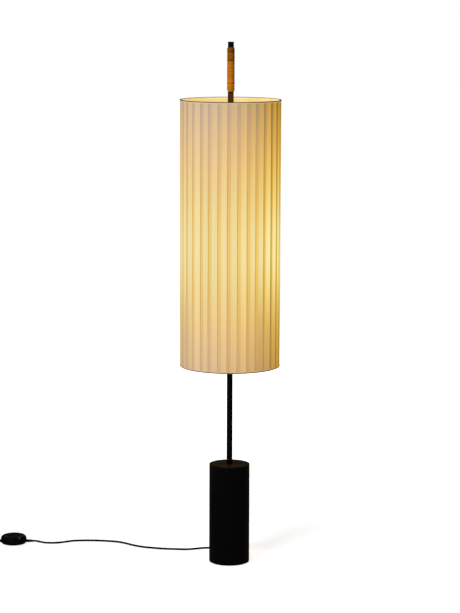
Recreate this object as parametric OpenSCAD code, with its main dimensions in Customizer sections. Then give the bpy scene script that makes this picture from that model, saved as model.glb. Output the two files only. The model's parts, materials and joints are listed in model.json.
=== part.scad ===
// Floor lamp with a tall ribbon drum shade, a wound carrying handle, a weighted
// cylindrical base and a mains lead with a foot dimmer.
// Millimetres, +Z up. The origin is the centre of the underside of the base.
// The lead leaves the back of the base (+Y) and runs along the floor to -X.

/* [Base] */
// Outside diameter of the base sleeve
base_d = 128; // [110:1:160]
// Height of the sleeve's top edge above the floor
base_h = 318.5; // [260:0.5:380]
// Wall of the base sleeve
sleeve_wall = 3; // [2:0.5:4]
// Rounding of the sleeve's top edge
lip_round = 1; // [0.4:0.1:1.8]
// Depth of the top disc below the sleeve's top edge
disc_depth = 1.5; // [0.5:0.5:4]
// Thickness of the top disc
disc_t = 4; // [3:0.5:6]
// Radial width of the shoulder that carries the top disc
shoulder_w = 4; // [2:0.5:8]
// Height of that shoulder
shoulder_h = 6; // [4:0.5:10]
// Thickness of the felt foot pad
pad_t = 2; // [1.5:0.5:4]
// Distance from the base's edge to the pad's edge
pad_inset = 4; // [2:0.5:12]
// Diameter of the hole in the middle of the pad
pad_hole_d = 44; // [38:1:60]
// Thickness of the base plate's flange under the sleeve
flange_t = 4; // [3:0.5:6]
// Distance from the base's edge to the flange's edge
flange_inset = 0.5; // [0.5:0.5:2]
// Height of the plate's spigot inside the sleeve
spigot_h = 6; // [5:0.5:9]
// Height of the cast iron ballast
ballast_h = 140; // [100:1:200]
// Radial room between the ballast and the sleeve
ballast_gap = 0.8; // [0.4:0.1:2]
// Diameter of the ballast's bore
ballast_bore_d = 28; // [26:1:36]
// Width of the lead's channel under the ballast
channel_w = 16; // [14:1:24]
// Height of that channel
channel_h = 23; // [22:1:32]
// Size across the flats of the nut under the base plate
nut_flats = 27; // [26:1:30]
// Thickness of that nut
nut_t = 5.5; // [4:0.5:6]
// Outside diameter of the washer above it
washer_d = 34; // [32:1:38]
// Thickness of that washer
washer_t = 1.5; // [1:0.5:2]

/* [Pole] */
// Outside diameter of the pole
pole_d = 18.5; // [18:0.5:21]
// Wall of the pole
pole_wall = 1.5; // [1.2:0.1:2]
// Height of the pole's lower end above the floor
pole_foot_z = 2.5; // [2.2:0.1:3]
// Height of the underside of the lamp crossbar, where the two pole tubes meet
crossbar_z = 896; // [860:1:960]
// Length of the threaded nipple that goes into each tube
nipple_reach = 20; // [14:1:30]
// Wall of the threaded nipples
nipple_wall = 2.2; // [1.5:0.1:3]
// Width of the slots that let the leads in and out of the pole
slot_w = 9; // [8:0.5:11]
// Height of the slot that lets the lead into the pole
entry_slot_h = 36; // [32:1:50]
// Width of the slots that let the two holder leads out
exit_slot_w = 4.5; // [4:0.5:5]
// Height of those two slots
exit_slot_h = 28; // [24:1:34]
// Distance from the crossbar down to those slots
exit_slot_drop = 21; // [21:1:24]
// Distance from those slots down to where the lead splits in two
lead_split_drop = 8; // [6:1:12]

/* [Lamp holders] */
// Distance of each bulb from the pole's axis
bulb_x = 58; // [52:1:75]
// Width of the crossbar
crossbar_w = 20; // [18:1:28]
// Thickness of the crossbar
crossbar_t = 4; // [3:0.5:6]
// Outside diameter of a lamp holder
holder_d = 34; // [32:0.5:40]
// Height of the holder's lower half
holder_base_h = 22; // [18:1:28]
// Height of the holder's upper half
holder_shell_h = 32; // [28:1:40]
// Height of the contact that the bulb cap stands on
contact_h = 2; // [1:0.5:4]
// Diameter of that contact
contact_d = 12; // [8:0.5:16]
// Outside diameter of the small nipple under a holder
stem_d = 10; // [9.5:0.5:11]
// Bore of the small nipple
stem_bore_d = 7; // [6:0.5:7.5]
// Length of the small nipple below the crossbar
stem_drop = 6; // [5:0.5:8]
// Length of the small nipple inside the holder
stem_rise = 8; // [6:0.5:12]
// Size across the flats of a holder nut
holder_nut_flats = 14; // [14:0.5:17]
// Thickness of a holder nut
holder_nut_t = 3; // [2:0.5:4]
// Diameter of each holder lead
holder_lead_d = 2.6; // [2:0.1:2.7]
// Diameter of the lead inside the base and the pole
inner_lead_d = 6; // [5.8:0.1:6.2]

/* [Bulbs] */
// Diameter of the bulb's globe
globe_d = 60; // [50:1:68]
// Height of the bulb's glass above its cap
glass_h = 81; // [76:1:100]
// Wall of the glass
glass_wall = 1.2; // [0.8:0.1:2]
// Diameter of the bulb's screw cap
cap_d = 26.4; // [26:0.1:27]
// Height of the screw cap
cap_h = 27; // [25:0.5:29]
// Wall of the screw cap
cap_wall = 1; // [0.6:0.1:1.2]
// Height of the screw cap's conical foot
cap_foot_h = 7; // [5:0.5:8]
// Height of the solid end of the screw cap
cap_solid_h = 9; // [9:0.5:12]
// Radial room around the cap in its holder
cap_gap = 0.4; // [0.2:0.1:0.8]
// Height of the straight neck of the glass
neck_h = 4; // [2:0.5:8]

/* [Shade] */
// Outside diameter of the shade over its bindings
shade_d = 315.8; // [280:0.2:340]
// Height of the shade's lower edge above the floor
shade_z = 634.5; // [560:0.5:700]
// Height of the shade
shade_h = 837.5; // [780:0.5:850]
// Number of ribbons round the shade
ribbons = 32; // [28:1:36]
// Width of the overlap of neighbouring ribbons, measured along the rim
overlap_w = 12.5; // [8:0.5:14]
// Turn of the whole ribbon pattern about the pole, in degrees
ribbon_turn = -2.4; // [-5:0.1:5]
// Thickness of one ribbon
ribbon_t = 1; // [0.6:0.1:1.4]
// Room between neighbouring layers of the shade
layer_gap = 0.2; // [0.15:0.05:0.4]
// Thickness of the translucent liner
liner_t = 0.6; // [0.4:0.1:1]
// Thickness of the edge bindings
binding_t = 0.6; // [0.4:0.1:1]
// Height of a binding's outer lip
binding_h = 5; // [3:0.5:8]
// Diameter of the wire of a frame's ring
wire_d = 4; // [3.6:0.1:5]
// Diameter of a frame's arms
arm_d = 3.2; // [2.6:0.1:3.4]
// Room between a frame's ring and the liner
ring_gap = 0.3; // [0.2:0.1:0.6]
// Distance of a ring's wire from the shade's edge
ring_inset = 6; // [4:0.5:10]
// Height between a ring and its hub
spider_drop = 42; // [20:1:60]
// Number of spider arms in each frame
arms = 3; // [3:1:4]
// Outside diameter of a frame's hub
hub_d = 28; // [26:1:40]
// Thickness of a frame's hub
hub_t = 4; // [4:0.5:6]

/* [Handle] */
// Height of the handle above the shade
handle_rise = 178; // [172:1:200]
// Height of the bare end above the winding
bare_end_h = 16; // [10:1:30]
// Height of the cane winding
winding_h = 138; // [100:1:145]
// Number of turns in the winding
winding_turns = 24; // [12:1:24]
// Outside diameter of the winding
winding_d = 24.2; // [23:0.1:27]
// Room between neighbouring turns
turn_gap = 0.5; // [0.45:0.05:1]
// Room between the winding and the tube under it
winding_gap = 0.3; // [0.2:0.05:0.5]
// Thickness of the end cap's head
cap_head_t = 4; // [3:0.5:8]
// Length of the end cap's spigot inside the tube
cap_spigot_h = 10; // [6:1:20]
// Bevel round the end cap's top edge
cap_bevel = 0.8; // [0.4:0.1:1.5]

/* [Fits] */
// Radial room of a plain round fit that is pushed together
slip_gap = 0.15; // [0.1:0.05:0.3]
// Radial room of a threaded fit
thread_gap = 0.05; // [0.02:0.01:0.1]
// Radial room of the washer in its recess
washer_gap = 0.5; // [0.3:0.1:1]

/* [Cord] */
// Diameter of the mains cord
cord_d = 6.4; // [5.8:0.1:6.6]
// Height of the cord's exit in the back of the base
exit_z = 19; // [19:0.5:21]
// Diameter of the gland's neck in the sleeve
gland_neck_d = 10; // [8:0.5:11]
// Diameter of the gland's two flanges
gland_flange_d = 13; // [12:0.5:13.5]
// Thickness of a gland flange
gland_flange_t = 2; // [1.5:0.5:2.5]
// Length of the gland outside the base
gland_len = 35; // [20:1:36]
// Diameter of the gland's tapered tail at its root
gland_tail_d = 11; // [10:0.5:12]
// Diameter of the gland's tip
gland_tip_d = 8; // [7:0.5:9]

/* [Dimmer] */
// Diameter of the foot dimmer
dimmer_d = 84; // [84:1:90]
// Height of the dimmer's top above the floor
dimmer_h = 29; // [28:0.5:32]
// Thickness of its rubber feet
dimmer_foot_t = 1.5; // [1:0.5:2.5]
// Diameter of a rubber foot
dimmer_foot_d = 8; // [6:0.5:10]
// Distance of each rubber foot from the dimmer's centre
foot_ring_r = 27.5; // [24:0.5:30]
// Direction of the first rubber foot, in degrees from +X
foot_turn = 40; // [30:1:50]
// Wall of the dimmer's shells
dimmer_wall = 2.2; // [1.6:0.1:2.6]
// Radius of the round shoulder of the cover
shoulder_r = 11; // [9:0.5:12]
// Height of the cord's axis through the dimmer, where its shells part
dimmer_cord_z = 9; // [8.6:0.1:10]
// Distance of a screw boss from the dimmer's centre
boss_y = 30; // [29:0.5:31]
// Diameter of a screw boss
boss_d = 8; // [7:0.5:9]
// Diameter of a screw's thread
screw_d = 3; // [2.5:0.5:3.5]
// Diameter of a screw's head
screw_head_d = 5.6; // [5:0.2:6]
// Height of a screw's head
screw_head_h = 1.8; // [1.4:0.2:2]
// Length of a screw below its head
screw_len = 16; // [12:1:18]
// How far a screw's head is sunk into the base
head_recess = 0.2; // [0:0.1:0.5]
// Travel of the slider
slider_travel = 22; // [16:1:24]
// Length of the slider's knob
knob_l = 16; // [12:1:18]
// Width of the slider's knob
knob_w = 11; // [8:1:14]
// Height of the slider's knob
knob_h = 2.7; // [2:0.1:4]
// Number of grooves across the knob
knob_grooves = 4; // [2:1:5]
// Width of a groove
groove_w = 1; // [0.6:0.1:1.4]
// Depth of a groove
groove_depth = 0.7; // [0.4:0.1:1]
// Length of the slider's stem
stem_l = 8; // [6:0.5:10]
// Width of the slider's stem
stem_w = 3.4; // [3:0.1:4]
// Running room of the slider
slider_gap = 0.3; // [0.2:0.05:0.5]
// Thickness of the slider's retaining plate
retainer_t = 1.5; // [1:0.1:2]
// Diameter of the pilot lamp's lens
pilot_d = 5; // [4:0.5:6]
// Direction of the pilot lamp round the dimmer, in degrees from +X
pilot_turn = -56; // [-80:1:-40]
// Slope of the pilot lamp's axis above the horizontal, in degrees
pilot_slope = 40; // [30:1:50]
// Height of the lens above the cover
pilot_proud = 0.8; // [0.4:0.1:1.2]
// Length of the circuit board
board_l = 52; // [50:1:56]
// Width of the circuit board
board_w = 44; // [36:1:46]
// Thickness of the circuit board
board_t = 1.6; // [1.2:0.1:2]
// Height of the posts under the board
post_h = 1.5; // [1:0.5:2]
// Diameter of those posts
post_d = 5; // [4:0.5:6]
// Distance of a post's axis from the board's edges
post_inset = 6; // [4:0.5:8]
// Height of the slide potentiometer
pot_h = 10; // [8:0.5:11]
// Width of the slide potentiometer
pot_w = 12; // [8:1:14]
// Length of a screw terminal, along the cord
terminal_l = 9; // [7:0.5:10]
// Width of a screw terminal
terminal_w = 14; // [12:1:16]
// Height of a screw terminal
terminal_h = 9; // [8:0.5:10]
// Room between a terminal and the potentiometer
terminal_gap = 1; // [0.5:0.1:2]
// Diameter of the cord's stripped ends inside the dimmer
lead_end_d = 4; // [3:0.5:4.5]
// Length of a cord relief outside the dimmer
relief_len = 20; // [20:1:21]
// Diameter of a cord relief at its root
relief_root_d = 10; // [8.5:0.5:11]
// Diameter of a cord relief at its tip
relief_tip_d = 7.8; // [7:0.1:8.4]
// Thickness of a cord relief's flange inside the dimmer
relief_flange_t = 2; // [1:0.5:2.5]

/* [Coil and plug] */
// Number of turns in the stored coil of cord
coil_turns = 6; // [4:2:8]
// Radius of the coil's innermost bend
coil_in_r = 26; // [26:0.5:32]
// Least room between the coil's turns
coil_gap = 0.5; // [0.45:0.05:1]
// Thickness of the tie round the coil
tie_t = 0.8; // [0.6:0.1:1.2]
// Width of that tie
tie_w = 10; // [6:1:12]
// Side room between the tie and the cord
tie_gap = 1; // [0.9:0.1:1.5]
// Room between the tie and the cord, above and below
tie_lift = 0.3; // [0.2:0.1:0.5]
// Length of the plug's cord relief
plug_relief_len = 25; // [20:1:40]
// Diameter of the plug's cord relief at its tip
plug_relief_tip_d = 7.2; // [7:0.1:8]
// Length of the plug's body
plug_l = 37; // [32:1:42]
// Width of the plug's body
plug_w = 35.3; // [33:0.1:37]
// Thickness of the plug's body
plug_t = 13.7; // [12:0.1:16]
// Width of the plug's body at its cord
plug_neck_w = 14; // [12:0.5:18]
// Length of the plug's tapered part
plug_taper_l = 15; // [10:0.5:20]
// Bevel of the plug's front corners
plug_corner = 2; // [1:0.5:4]
// Diameter of a plug pin
pin_d = 4; // [3.8:0.1:4.8]
// Length of a plug pin
pin_l = 19; // [18:0.5:20]
// Distance between the two pins
pin_spacing = 18.6; // [17:0.1:20]

/* [Hidden] */
$fn = 96;

// Base, from the floor up
base_r = base_d / 2;
sleeve_r = base_r - sleeve_wall;
spigot_r = sleeve_r - slip_gap;
sleeve_z = pad_t + flange_t;
ballast_z = sleeve_z + spigot_h;
disc_z = base_h - disc_depth - disc_t;
pole_r = pole_d / 2;
pole_bore_r = pole_r - pole_wall;
washer_z = pad_t + nut_t;
recess_r = washer_d / 2 + washer_gap;
overrun = 1;

// Pole joints
nipple_r = pole_bore_r - thread_gap;
upper_pole_z = crossbar_z + crossbar_t;
hub_z = shade_z + shade_h - ring_inset - spider_drop - hub_t / 2;
handle_z = hub_z + hub_t;

// Lamp holders
holder_z = crossbar_z + crossbar_t;
shell_z = holder_z + holder_base_h;
cap_z = shell_z + contact_h;
glass_z = cap_z + cap_h;
globe_r = globe_d / 2;

// Shade, from the outside in
binding_in_r = shade_d / 2 - binding_t;
high_r = binding_in_r - slip_gap;
low_r = high_r - ribbon_t - layer_gap;
liner_out_r = low_r - ribbon_t - layer_gap;
liner_in_r = liner_out_r - liner_t;
ring_r = liner_in_r - ring_gap - wire_d / 2;
cover_z = shade_z + binding_t;
cover_h = shade_h - 2 * binding_t;
ribbon_pitch = 360 / ribbons;
overlap_a = overlap_w / high_r * 180 / PI;
bend_start = 0.08;
bend_end = 0.45;
ribbon_a = ribbon_pitch + overlap_a;
shade_top_z = shade_z + shade_h;
lamp_h = shade_top_z + handle_rise;

// Handle winding: a split cane, flat inside and crowned outside
winding_top_z = lamp_h - bare_end_h;
winding_z = winding_top_z - winding_h;
winding_pitch = (winding_h + turn_gap) / (winding_turns + 1);
cane_w = winding_pitch - turn_gap;
cane_in_r = pole_r + winding_gap;
cane_t = winding_d / 2 - cane_in_r;
rings_per_turn = 24;

// Gland in the back of the base
gland_in_y = sqrt(pow(sleeve_r, 2) - pow(gland_flange_d / 2, 2)) - gland_flange_t;
gland_tip_y = base_r + gland_len;

// Dimmer: its centre on the floor and its levels
dimmer_x = -709;
dimmer_y = 216;
dimmer_r = dimmer_d / 2;
dimmer_skirt_r = dimmer_cord_z - dimmer_foot_t;
dimmer_skirt_x = dimmer_r - dimmer_skirt_r;
dimmer_skirt_in_r = dimmer_skirt_r - dimmer_wall;
dimmer_floor_z = dimmer_foot_t + dimmer_wall;
dimmer_ceiling_z = dimmer_h - dimmer_wall;
boss_bore_r = screw_d / 2 + thread_gap;
head_seat_z = dimmer_foot_t + screw_head_h + head_recess;
board_z = dimmer_floor_z + post_h;
pot_z = board_z + board_t;
slot_l = slider_travel + stem_l + 4 * slider_gap;
relief_neck_r = relief_tip_d / 2;
relief_flange_r = dimmer_skirt_in_r - slip_gap;
relief_in_x = dimmer_skirt_x + sqrt(pow(dimmer_skirt_in_r, 2) - pow(relief_flange_r, 2))
    - relief_flange_t;
pot_l = board_l - 2 * (terminal_l + terminal_gap);

// Coil: loops that spiral in, climb one layer and spiral out again
coil_pitch = cord_d + coil_gap;
coil_out_r = coil_in_r + coil_pitch * coil_turns / 2;
coil_z = tie_t + tie_lift + cord_d / 2;

// Free cord, chosen by eye along the floor
cord_route = [
    [0, gland_tip_y, exit_z], [0, 107, 19], [-1, 119, 17.5], [-5, 131, 14],
    [-12, 141, 10], [-23, 149, 6.5], [-38, 154, 4], [-56, 155, 3.3],
    [-74, 154, 3.3], [-91, 150, 3.3], [-108, 143, 3.3], [-125, 137, 3.3],
    [-143, 134, 3.3], [-161, 135, 3.3], [-179, 137, 3.3], [-198, 139, 3.3],
    [-217, 142, 3.3], [-235, 147, 3.3], [-253, 153, 3.3], [-271, 159, 3.3],
    [-288, 167, 3.3], [-303, 177, 3.3], [-317, 188, 3.3], [-331, 201, 3.3],
    [-345, 214, 3.3], [-360, 225, 3.3], [-377, 233, 3.3], [-396, 238, 3.3],
    [-416, 242, 3.3], [-436, 245, 3.3], [-457, 246, 3.3], [-478, 246, 3.3],
    [-498, 244, 3.3], [-516, 240, 3.3], [-533, 231, 3.3], [-550, 221, 3.3],
    [-568, 214, 3.3], [-587, 212, 3.3], [-605, 214, 3.5], [-620, 216, 5.4],
    [-631, 216, 7.8], [-640, 216, dimmer_cord_z],
    [dimmer_x + dimmer_r + relief_len, dimmer_y, dimmer_cord_z]
];
coil_lead_route = [
    [dimmer_x - dimmer_r - relief_len, dimmer_y, dimmer_cord_z],
    [-778, 216, dimmer_cord_z], [-788, 216, 7.4], [-797, 216, 5.1],
    [-805, 216, coil_z], [-812, 216, coil_z]
];
coil_start = coil_lead_route[len(coil_lead_route) - 1];
coil_x = coil_start[0] - cord_d;
coil_y = coil_start[1] - coil_out_r;
coil_end = [coil_x - cord_d, coil_start[1], coil_z + coil_pitch];
plug_lead_route = [
    coil_end, [-832, 216, coil_end[2]], [-843, 216, 10.3], [-854, 216, 8.3],
    [-864, 216, plug_t / 2], [-872, 216, plug_t / 2]
];
plug_start = plug_lead_route[len(plug_lead_route) - 1];
plug_x = plug_start[0] - plug_relief_len;

// Leads that the lamp holds
inner_lead_route = [
    [0, gland_in_y, exit_z], [0, 44, exit_z], [0, 31, 19.5], [0, 20, 22],
    [0, 11, 28], [0, 5, 37], [0, 1.5, 48], [0, 0, 60], [0, 0, 78],
    [0, 0, crossbar_z - exit_slot_drop - exit_slot_h - lead_split_drop]
];
inner_lead_top = inner_lead_route[len(inner_lead_route) - 1];

// Unit vector along v
function unit(v) = v / norm(v);

// Direction of a route at point i, along its end segments at both ends
function heading(route, i) =
    unit(route[min(i + 1, len(route) - 1)] - route[max(i - 1, 0)]);

// Corners of a tube's ring at point i, one flat side towards the reference direction
function tube_ring(route, i, d, sides, ref) =
    let (t = heading(route, i), b = unit(cross(t, ref)), n = cross(b, t))
    [for (k = [0 : sides - 1])
        let (a = (k + 0.5) * 360 / sides)
        route[i] + d / 2 * (cos(a) * n + sin(a) * b)];

// Triangles of a skin over rings of the same number of corners, with flat ends
function skin_faces(rings, sides) = concat(
    [for (i = [0 : rings - 2], k = [0 : sides - 1])
        [i * sides + k, (i + 1) * sides + (k + 1) % sides, i * sides + (k + 1) % sides]],
    [for (i = [0 : rings - 2], k = [0 : sides - 1])
        [i * sides + k, (i + 1) * sides + k, (i + 1) * sides + (k + 1) % sides]],
    [for (k = [1 : sides - 2]) [0, k, k + 1]],
    [for (k = [1 : sides - 2])
        let (last = (rings - 1) * sides) [last, last + k + 1, last + k]]
);

// All points of a list of rings in one list
function joined(rings) = [for (ring = rings) for (p = ring) p];

// Closed tube of the given diameter swept along a route
module swept_tube(route, d, sides, ref = [0, 0, 1]) {
    polyhedron(
        points = joined([for (i = [0 : len(route) - 1]) tube_ring(route, i, d, sides, ref)]),
        faces = skin_faces(len(route), sides)
    );
}

// Points of an arc in a half profile, from angle a0 to a1
function arc(cx, cy, r, a0, a1, steps) =
    [for (i = [0 : steps])
        let (a = a0 + (a1 - a0) * i / steps) [cx + r * cos(a), cy + r * sin(a)]];

// Tube round the Z axis
module pipe(r_out, r_in, z0, h) {
    translate([0, 0, z0])
        difference() {
            cylinder(r = r_out, h = h);
            translate([0, 0, -overrun]) cylinder(r = r_in, h = h + 2 * overrun);
        }
}

// Hexagon nut round the Z axis
module hex_nut(flats, r_in, z0, h) {
    translate([0, 0, z0])
        difference() {
            cylinder(d = flats / cos(30), h = h, $fn = 6);
            translate([0, 0, -overrun]) cylinder(r = r_in, h = h + 2 * overrun);
        }
}

module base_foot_pad() {
    color("dimgray")
        pipe(base_r - pad_inset, pad_hole_d / 2, 0, pad_t);
}

module base_plate() {
    color("black")
        difference() {
            union() {
                translate([0, 0, pad_t])
                    cylinder(r = base_r - flange_inset, h = flange_t);
                translate([0, 0, pad_t])
                    cylinder(r = spigot_r, h = flange_t + spigot_h);
            }
            translate([0, 0, pad_t - overrun])
                cylinder(r = recess_r, h = nut_t + washer_t + overrun);
            cylinder(r = pole_r + slip_gap, h = ballast_z + overrun);
        }
}

module base_washer() {
    color("silver")
        pipe(washer_d / 2, pole_r + slip_gap, washer_z, washer_t);
}

module base_nut() {
    color("silver")
        hex_nut(nut_flats, pole_r + thread_gap, pad_t, nut_t);
}

module base_ballast() {
    color("dimgray")
        difference() {
            pipe(sleeve_r - ballast_gap, ballast_bore_d / 2, ballast_z, ballast_h);
            translate([-channel_w / 2, 0, ballast_z - overrun])
                cube([channel_w, base_r, channel_h + overrun]);
        }
}

module base_sleeve() {
    shoulder_z = disc_z - shoulder_h;
    color([0.05, 0.045, 0.04])
        difference() {
            rotate_extrude()
                polygon(concat(
                    [[sleeve_r, sleeve_z], [base_r, sleeve_z]],
                    arc(base_r - lip_round, base_h - lip_round, lip_round, 0, 90, 6),
                    [[sleeve_r, base_h], [sleeve_r, disc_z], [sleeve_r - shoulder_w, disc_z],
                        [sleeve_r - shoulder_w, shoulder_z], [sleeve_r, shoulder_z]]
                ));
            translate([0, 0, exit_z])
                rotate([-90, 0, 0])
                    cylinder(d = gland_neck_d + 2 * slip_gap, h = base_r + overrun);
        }
}

module base_top_disc() {
    color([0.12, 0.09, 0.06])
        pipe(sleeve_r - slip_gap, pole_r + slip_gap, disc_z, disc_t);
}

// Bush in the sleeve with a flange on each side and a tapered tail
module cord_gland() {
    neck_len = base_r - gland_in_y;
    color([0.08, 0.08, 0.08])
        translate([0, gland_in_y, exit_z])
            rotate([-90, 0, 0]) {
                cylinder(d = gland_flange_d, h = gland_flange_t);
                cylinder(d = gland_neck_d, h = neck_len + gland_flange_t);
                translate([0, 0, neck_len])
                    cylinder(d = gland_flange_d, h = gland_flange_t);
                translate([0, 0, neck_len])
                    cylinder(d1 = gland_tail_d, d2 = gland_tip_d, h = gland_len, $fn = 48);
            }
}

module inner_lead() {
    color([0.15, 0.15, 0.15])
        swept_tube(inner_lead_route, inner_lead_d, 8, [1, 0, 0]);
}

module lower_pole() {
    color([0.06, 0.05, 0.05])
        difference() {
            pipe(pole_r, pole_bore_r, pole_foot_z, crossbar_z - pole_foot_z);
            translate([-slot_w / 2, 0, exit_z - slot_w / 2])
                cube([slot_w, pole_d, entry_slot_h]);
            translate([-pole_d, -exit_slot_w / 2, crossbar_z - exit_slot_drop - exit_slot_h])
                cube([2 * pole_d, exit_slot_w, exit_slot_h]);
        }
}

module pole_nipple() {
    color("silver")
        pipe(nipple_r, nipple_r - nipple_wall, crossbar_z - nipple_reach,
            2 * nipple_reach + crossbar_t);
}

module upper_pole() {
    color([0.06, 0.05, 0.05])
        pipe(pole_r, pole_bore_r, upper_pole_z, hub_z - upper_pole_z);
}

module crossbar() {
    color("silver")
        difference() {
            translate([0, 0, crossbar_z])
                union() {
                    translate([-bulb_x, -crossbar_w / 2, 0])
                        cube([2 * bulb_x, crossbar_w, crossbar_t]);
                    for (side = [-1, 1])
                        translate([side * bulb_x, 0, 0])
                            cylinder(d = crossbar_w, h = crossbar_t);
                }
            translate([0, 0, crossbar_z - overrun])
                cylinder(r = nipple_r + slip_gap, h = crossbar_t + 2 * overrun);
            for (side = [-1, 1])
                translate([side * bulb_x, 0, crossbar_z - overrun])
                    cylinder(d = stem_d + 2 * slip_gap, h = crossbar_t + 2 * overrun);
        }
}

module holder_nipple(side) {
    color("silver")
        translate([side * bulb_x, 0, 0])
            pipe(stem_d / 2, stem_bore_d / 2, crossbar_z - stem_drop,
                stem_drop + crossbar_t + stem_rise);
}

module holder_nuts() {
    color("silver")
        for (side = [-1, 1])
            translate([side * bulb_x, 0, 0])
                hex_nut(holder_nut_flats, stem_d / 2 + thread_gap,
                    crossbar_z - holder_nut_t, holder_nut_t);
}

module holder_base(side) {
    color([0.1, 0.1, 0.1])
        translate([side * bulb_x, 0, holder_z])
            difference() {
                union() {
                    cylinder(d = holder_d, h = holder_base_h);
                    cylinder(d = contact_d, h = holder_base_h + contact_h);
                }
                translate([0, 0, -overrun])
                    cylinder(d = stem_d + 2 * thread_gap, h = stem_rise + overrun);
            }
}

module holder_shell(side) {
    color([0.1, 0.1, 0.1])
        translate([side * bulb_x, 0, 0])
            pipe(holder_d / 2, cap_d / 2 + cap_gap, shell_z, holder_shell_h);
}

// Lead from the pole's slot, under the crossbar and up into one holder
module holder_lead(side) {
    top_z = holder_z + stem_rise;
    run_z = crossbar_z - exit_slot_drop - 5;
    route = [
        [side * 1.6, 0, inner_lead_top[2]], [side * 1.6, 0, inner_lead_top[2] + 8],
        [side * 4, 0, run_z - 13], [side * 9, 0, run_z - 6], [side * 17, 0, run_z - 2],
        [side * (bulb_x - 30), 0, run_z], [side * (bulb_x - 18), 0, run_z + 1],
        [side * (bulb_x - 8), 0, run_z + 4], [side * (bulb_x - 2), 0, run_z + 11],
        [side * bulb_x, 0, crossbar_z - stem_drop], [side * bulb_x, 0, top_z]
    ];
    color("gold")
        swept_tube(route, holder_lead_d, 8, [0, 1, 0]);
}

// Screw cap: a cup with a narrow foot on the holder's contact
module bulb_cap(side) {
    r = cap_d / 2;
    foot_r = contact_d / 2;
    color("silver")
        translate([side * bulb_x, 0, cap_z])
            rotate_extrude()
                polygon([
                    [0, 0], [foot_r, 0], [r, cap_foot_h], [r, cap_h], [r - cap_wall, cap_h],
                    [r - cap_wall, cap_solid_h], [0, cap_solid_h]
                ]);
}

// Glass: a globe on a straight neck, joined by a tangent cone
module bulb_glass(side) {
    neck_r = cap_d / 2;
    mid_z = glass_h - globe_r;
    rise = mid_z - neck_h;
    touch = asin(globe_r / norm([neck_r, rise])) - atan2(neck_r, rise);
    color([1, 0.95, 0.8])
        translate([side * bulb_x, 0, glass_z])
            rotate_extrude()
                polygon(concat(
                    [[neck_r - glass_wall, 0], [neck_r, 0], [neck_r, neck_h]],
                    arc(0, mid_z, globe_r, -touch, 90, 14),
                    arc(0, mid_z, globe_r - glass_wall, 90, -touch, 14),
                    [[neck_r - glass_wall, neck_h]]
                ));
}

// Wire ring with sloping arms and a hub with a hole for the pole or its nipple
module shade_frame(wire_z, hub_bottom_z, bore_r) {
    hub_mid_z = hub_bottom_z + hub_t / 2;
    start_r = hub_d / 2 - arm_d / 2;
    run = ring_r - start_r;
    rise = wire_z - hub_mid_z;
    color("silver")
        difference() {
            union() {
                translate([0, 0, wire_z])
                    rotate_extrude()
                        translate([ring_r, 0]) circle(d = wire_d, $fn = 24);
                for (i = [0 : arms - 1])
                    rotate([0, 0, 90 + i * 360 / arms])
                        translate([start_r, 0, hub_mid_z])
                            rotate([0, atan2(run, rise), 0])
                                cylinder(d = arm_d, h = norm([run, rise]), $fn = 24);
                translate([0, 0, hub_bottom_z])
                    cylinder(d = hub_d, h = hub_t);
            }
            translate([0, 0, hub_bottom_z - spider_drop])
                cylinder(r = bore_r, h = 2 * spider_drop);
        }
}

module top_frame() {
    shade_frame(shade_top_z - ring_inset, hub_z, nipple_r + slip_gap);
}

module bottom_frame() {
    wire_z = shade_z + ring_inset;
    shade_frame(wire_z, wire_z + spider_drop - hub_t / 2, pole_r + slip_gap);
}

module shade_liner() {
    color([1, 0.92, 0.7])
        pipe(liner_out_r, liner_in_r, cover_z, cover_h);
}

// Section of one ribbon: it lies over its left neighbour and under its right one
module ribbon_section() {
    single = ribbon_pitch - overlap_a;
    high = [0, overlap_a / 2, overlap_a, overlap_a + single * bend_start];
    low = [
        overlap_a + single * bend_end, overlap_a + single * (1 + bend_end) / 2,
        ribbon_pitch, ribbon_pitch + overlap_a / 2, ribbon_a
    ];
    bends = concat([for (a = high) [high_r, a]], [for (a = low) [low_r, a]]);
    last = len(bends) - 1;
    outer = [for (b = bends) b[0] * [cos(b[1]), sin(b[1])]];
    inner = [for (i = [last : -1 : 0])
        (bends[i][0] - ribbon_t) * [cos(bends[i][1]), sin(bends[i][1])]];
    polygon(concat(outer, inner));
}

module shade_ribbons() {
    color([0.95, 0.86, 0.62])
        for (i = [0 : ribbons - 1])
            rotate([0, 0, ribbon_turn - 90 + i * ribbon_pitch])
                translate([0, 0, cover_z])
                    linear_extrude(height = cover_h)
                        ribbon_section();
}

// Binding over the shade's edge: a flat rim and an outer lip
module shade_binding(edge_z, into) {
    color([0.6, 0.5, 0.36])
        translate([0, 0, edge_z])
            rotate_extrude()
                polygon([
                    [liner_in_r, 0], [shade_d / 2, 0], [shade_d / 2, into * binding_h],
                    [binding_in_r, into * binding_h], [binding_in_r, into * binding_t],
                    [liner_in_r, into * binding_t]
                ]);
}

module handle_nipple() {
    color("silver")
        pipe(nipple_r, nipple_r - nipple_wall, hub_z - nipple_reach,
            2 * nipple_reach + hub_t);
}

module handle_tube() {
    color([0.06, 0.05, 0.05])
        pipe(pole_r, pole_bore_r, handle_z, lamp_h - cap_head_t - handle_z);
}

// Corners of the cane's section at turn u, out from the pole and up its axis
function cane_ring(u, shift) =
    let (
        a = 360 * u,
        out = [cos(a), sin(a), 0],
        along = [-sin(a), cos(a), 0],
        mid_z = winding_z + cane_w / 2 + winding_pitch * u,
        corners = [
            [0, -0.5], [0, 0.5], [0.7, 0.5], [1, 0.25], [1, -0.25], [0.7, -0.5]
        ]
    )
    [for (c = corners)
        out * (cane_in_r + c[0] * cane_t) + along * shift + [0, 0, mid_z + c[1] * cane_w]];

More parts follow.
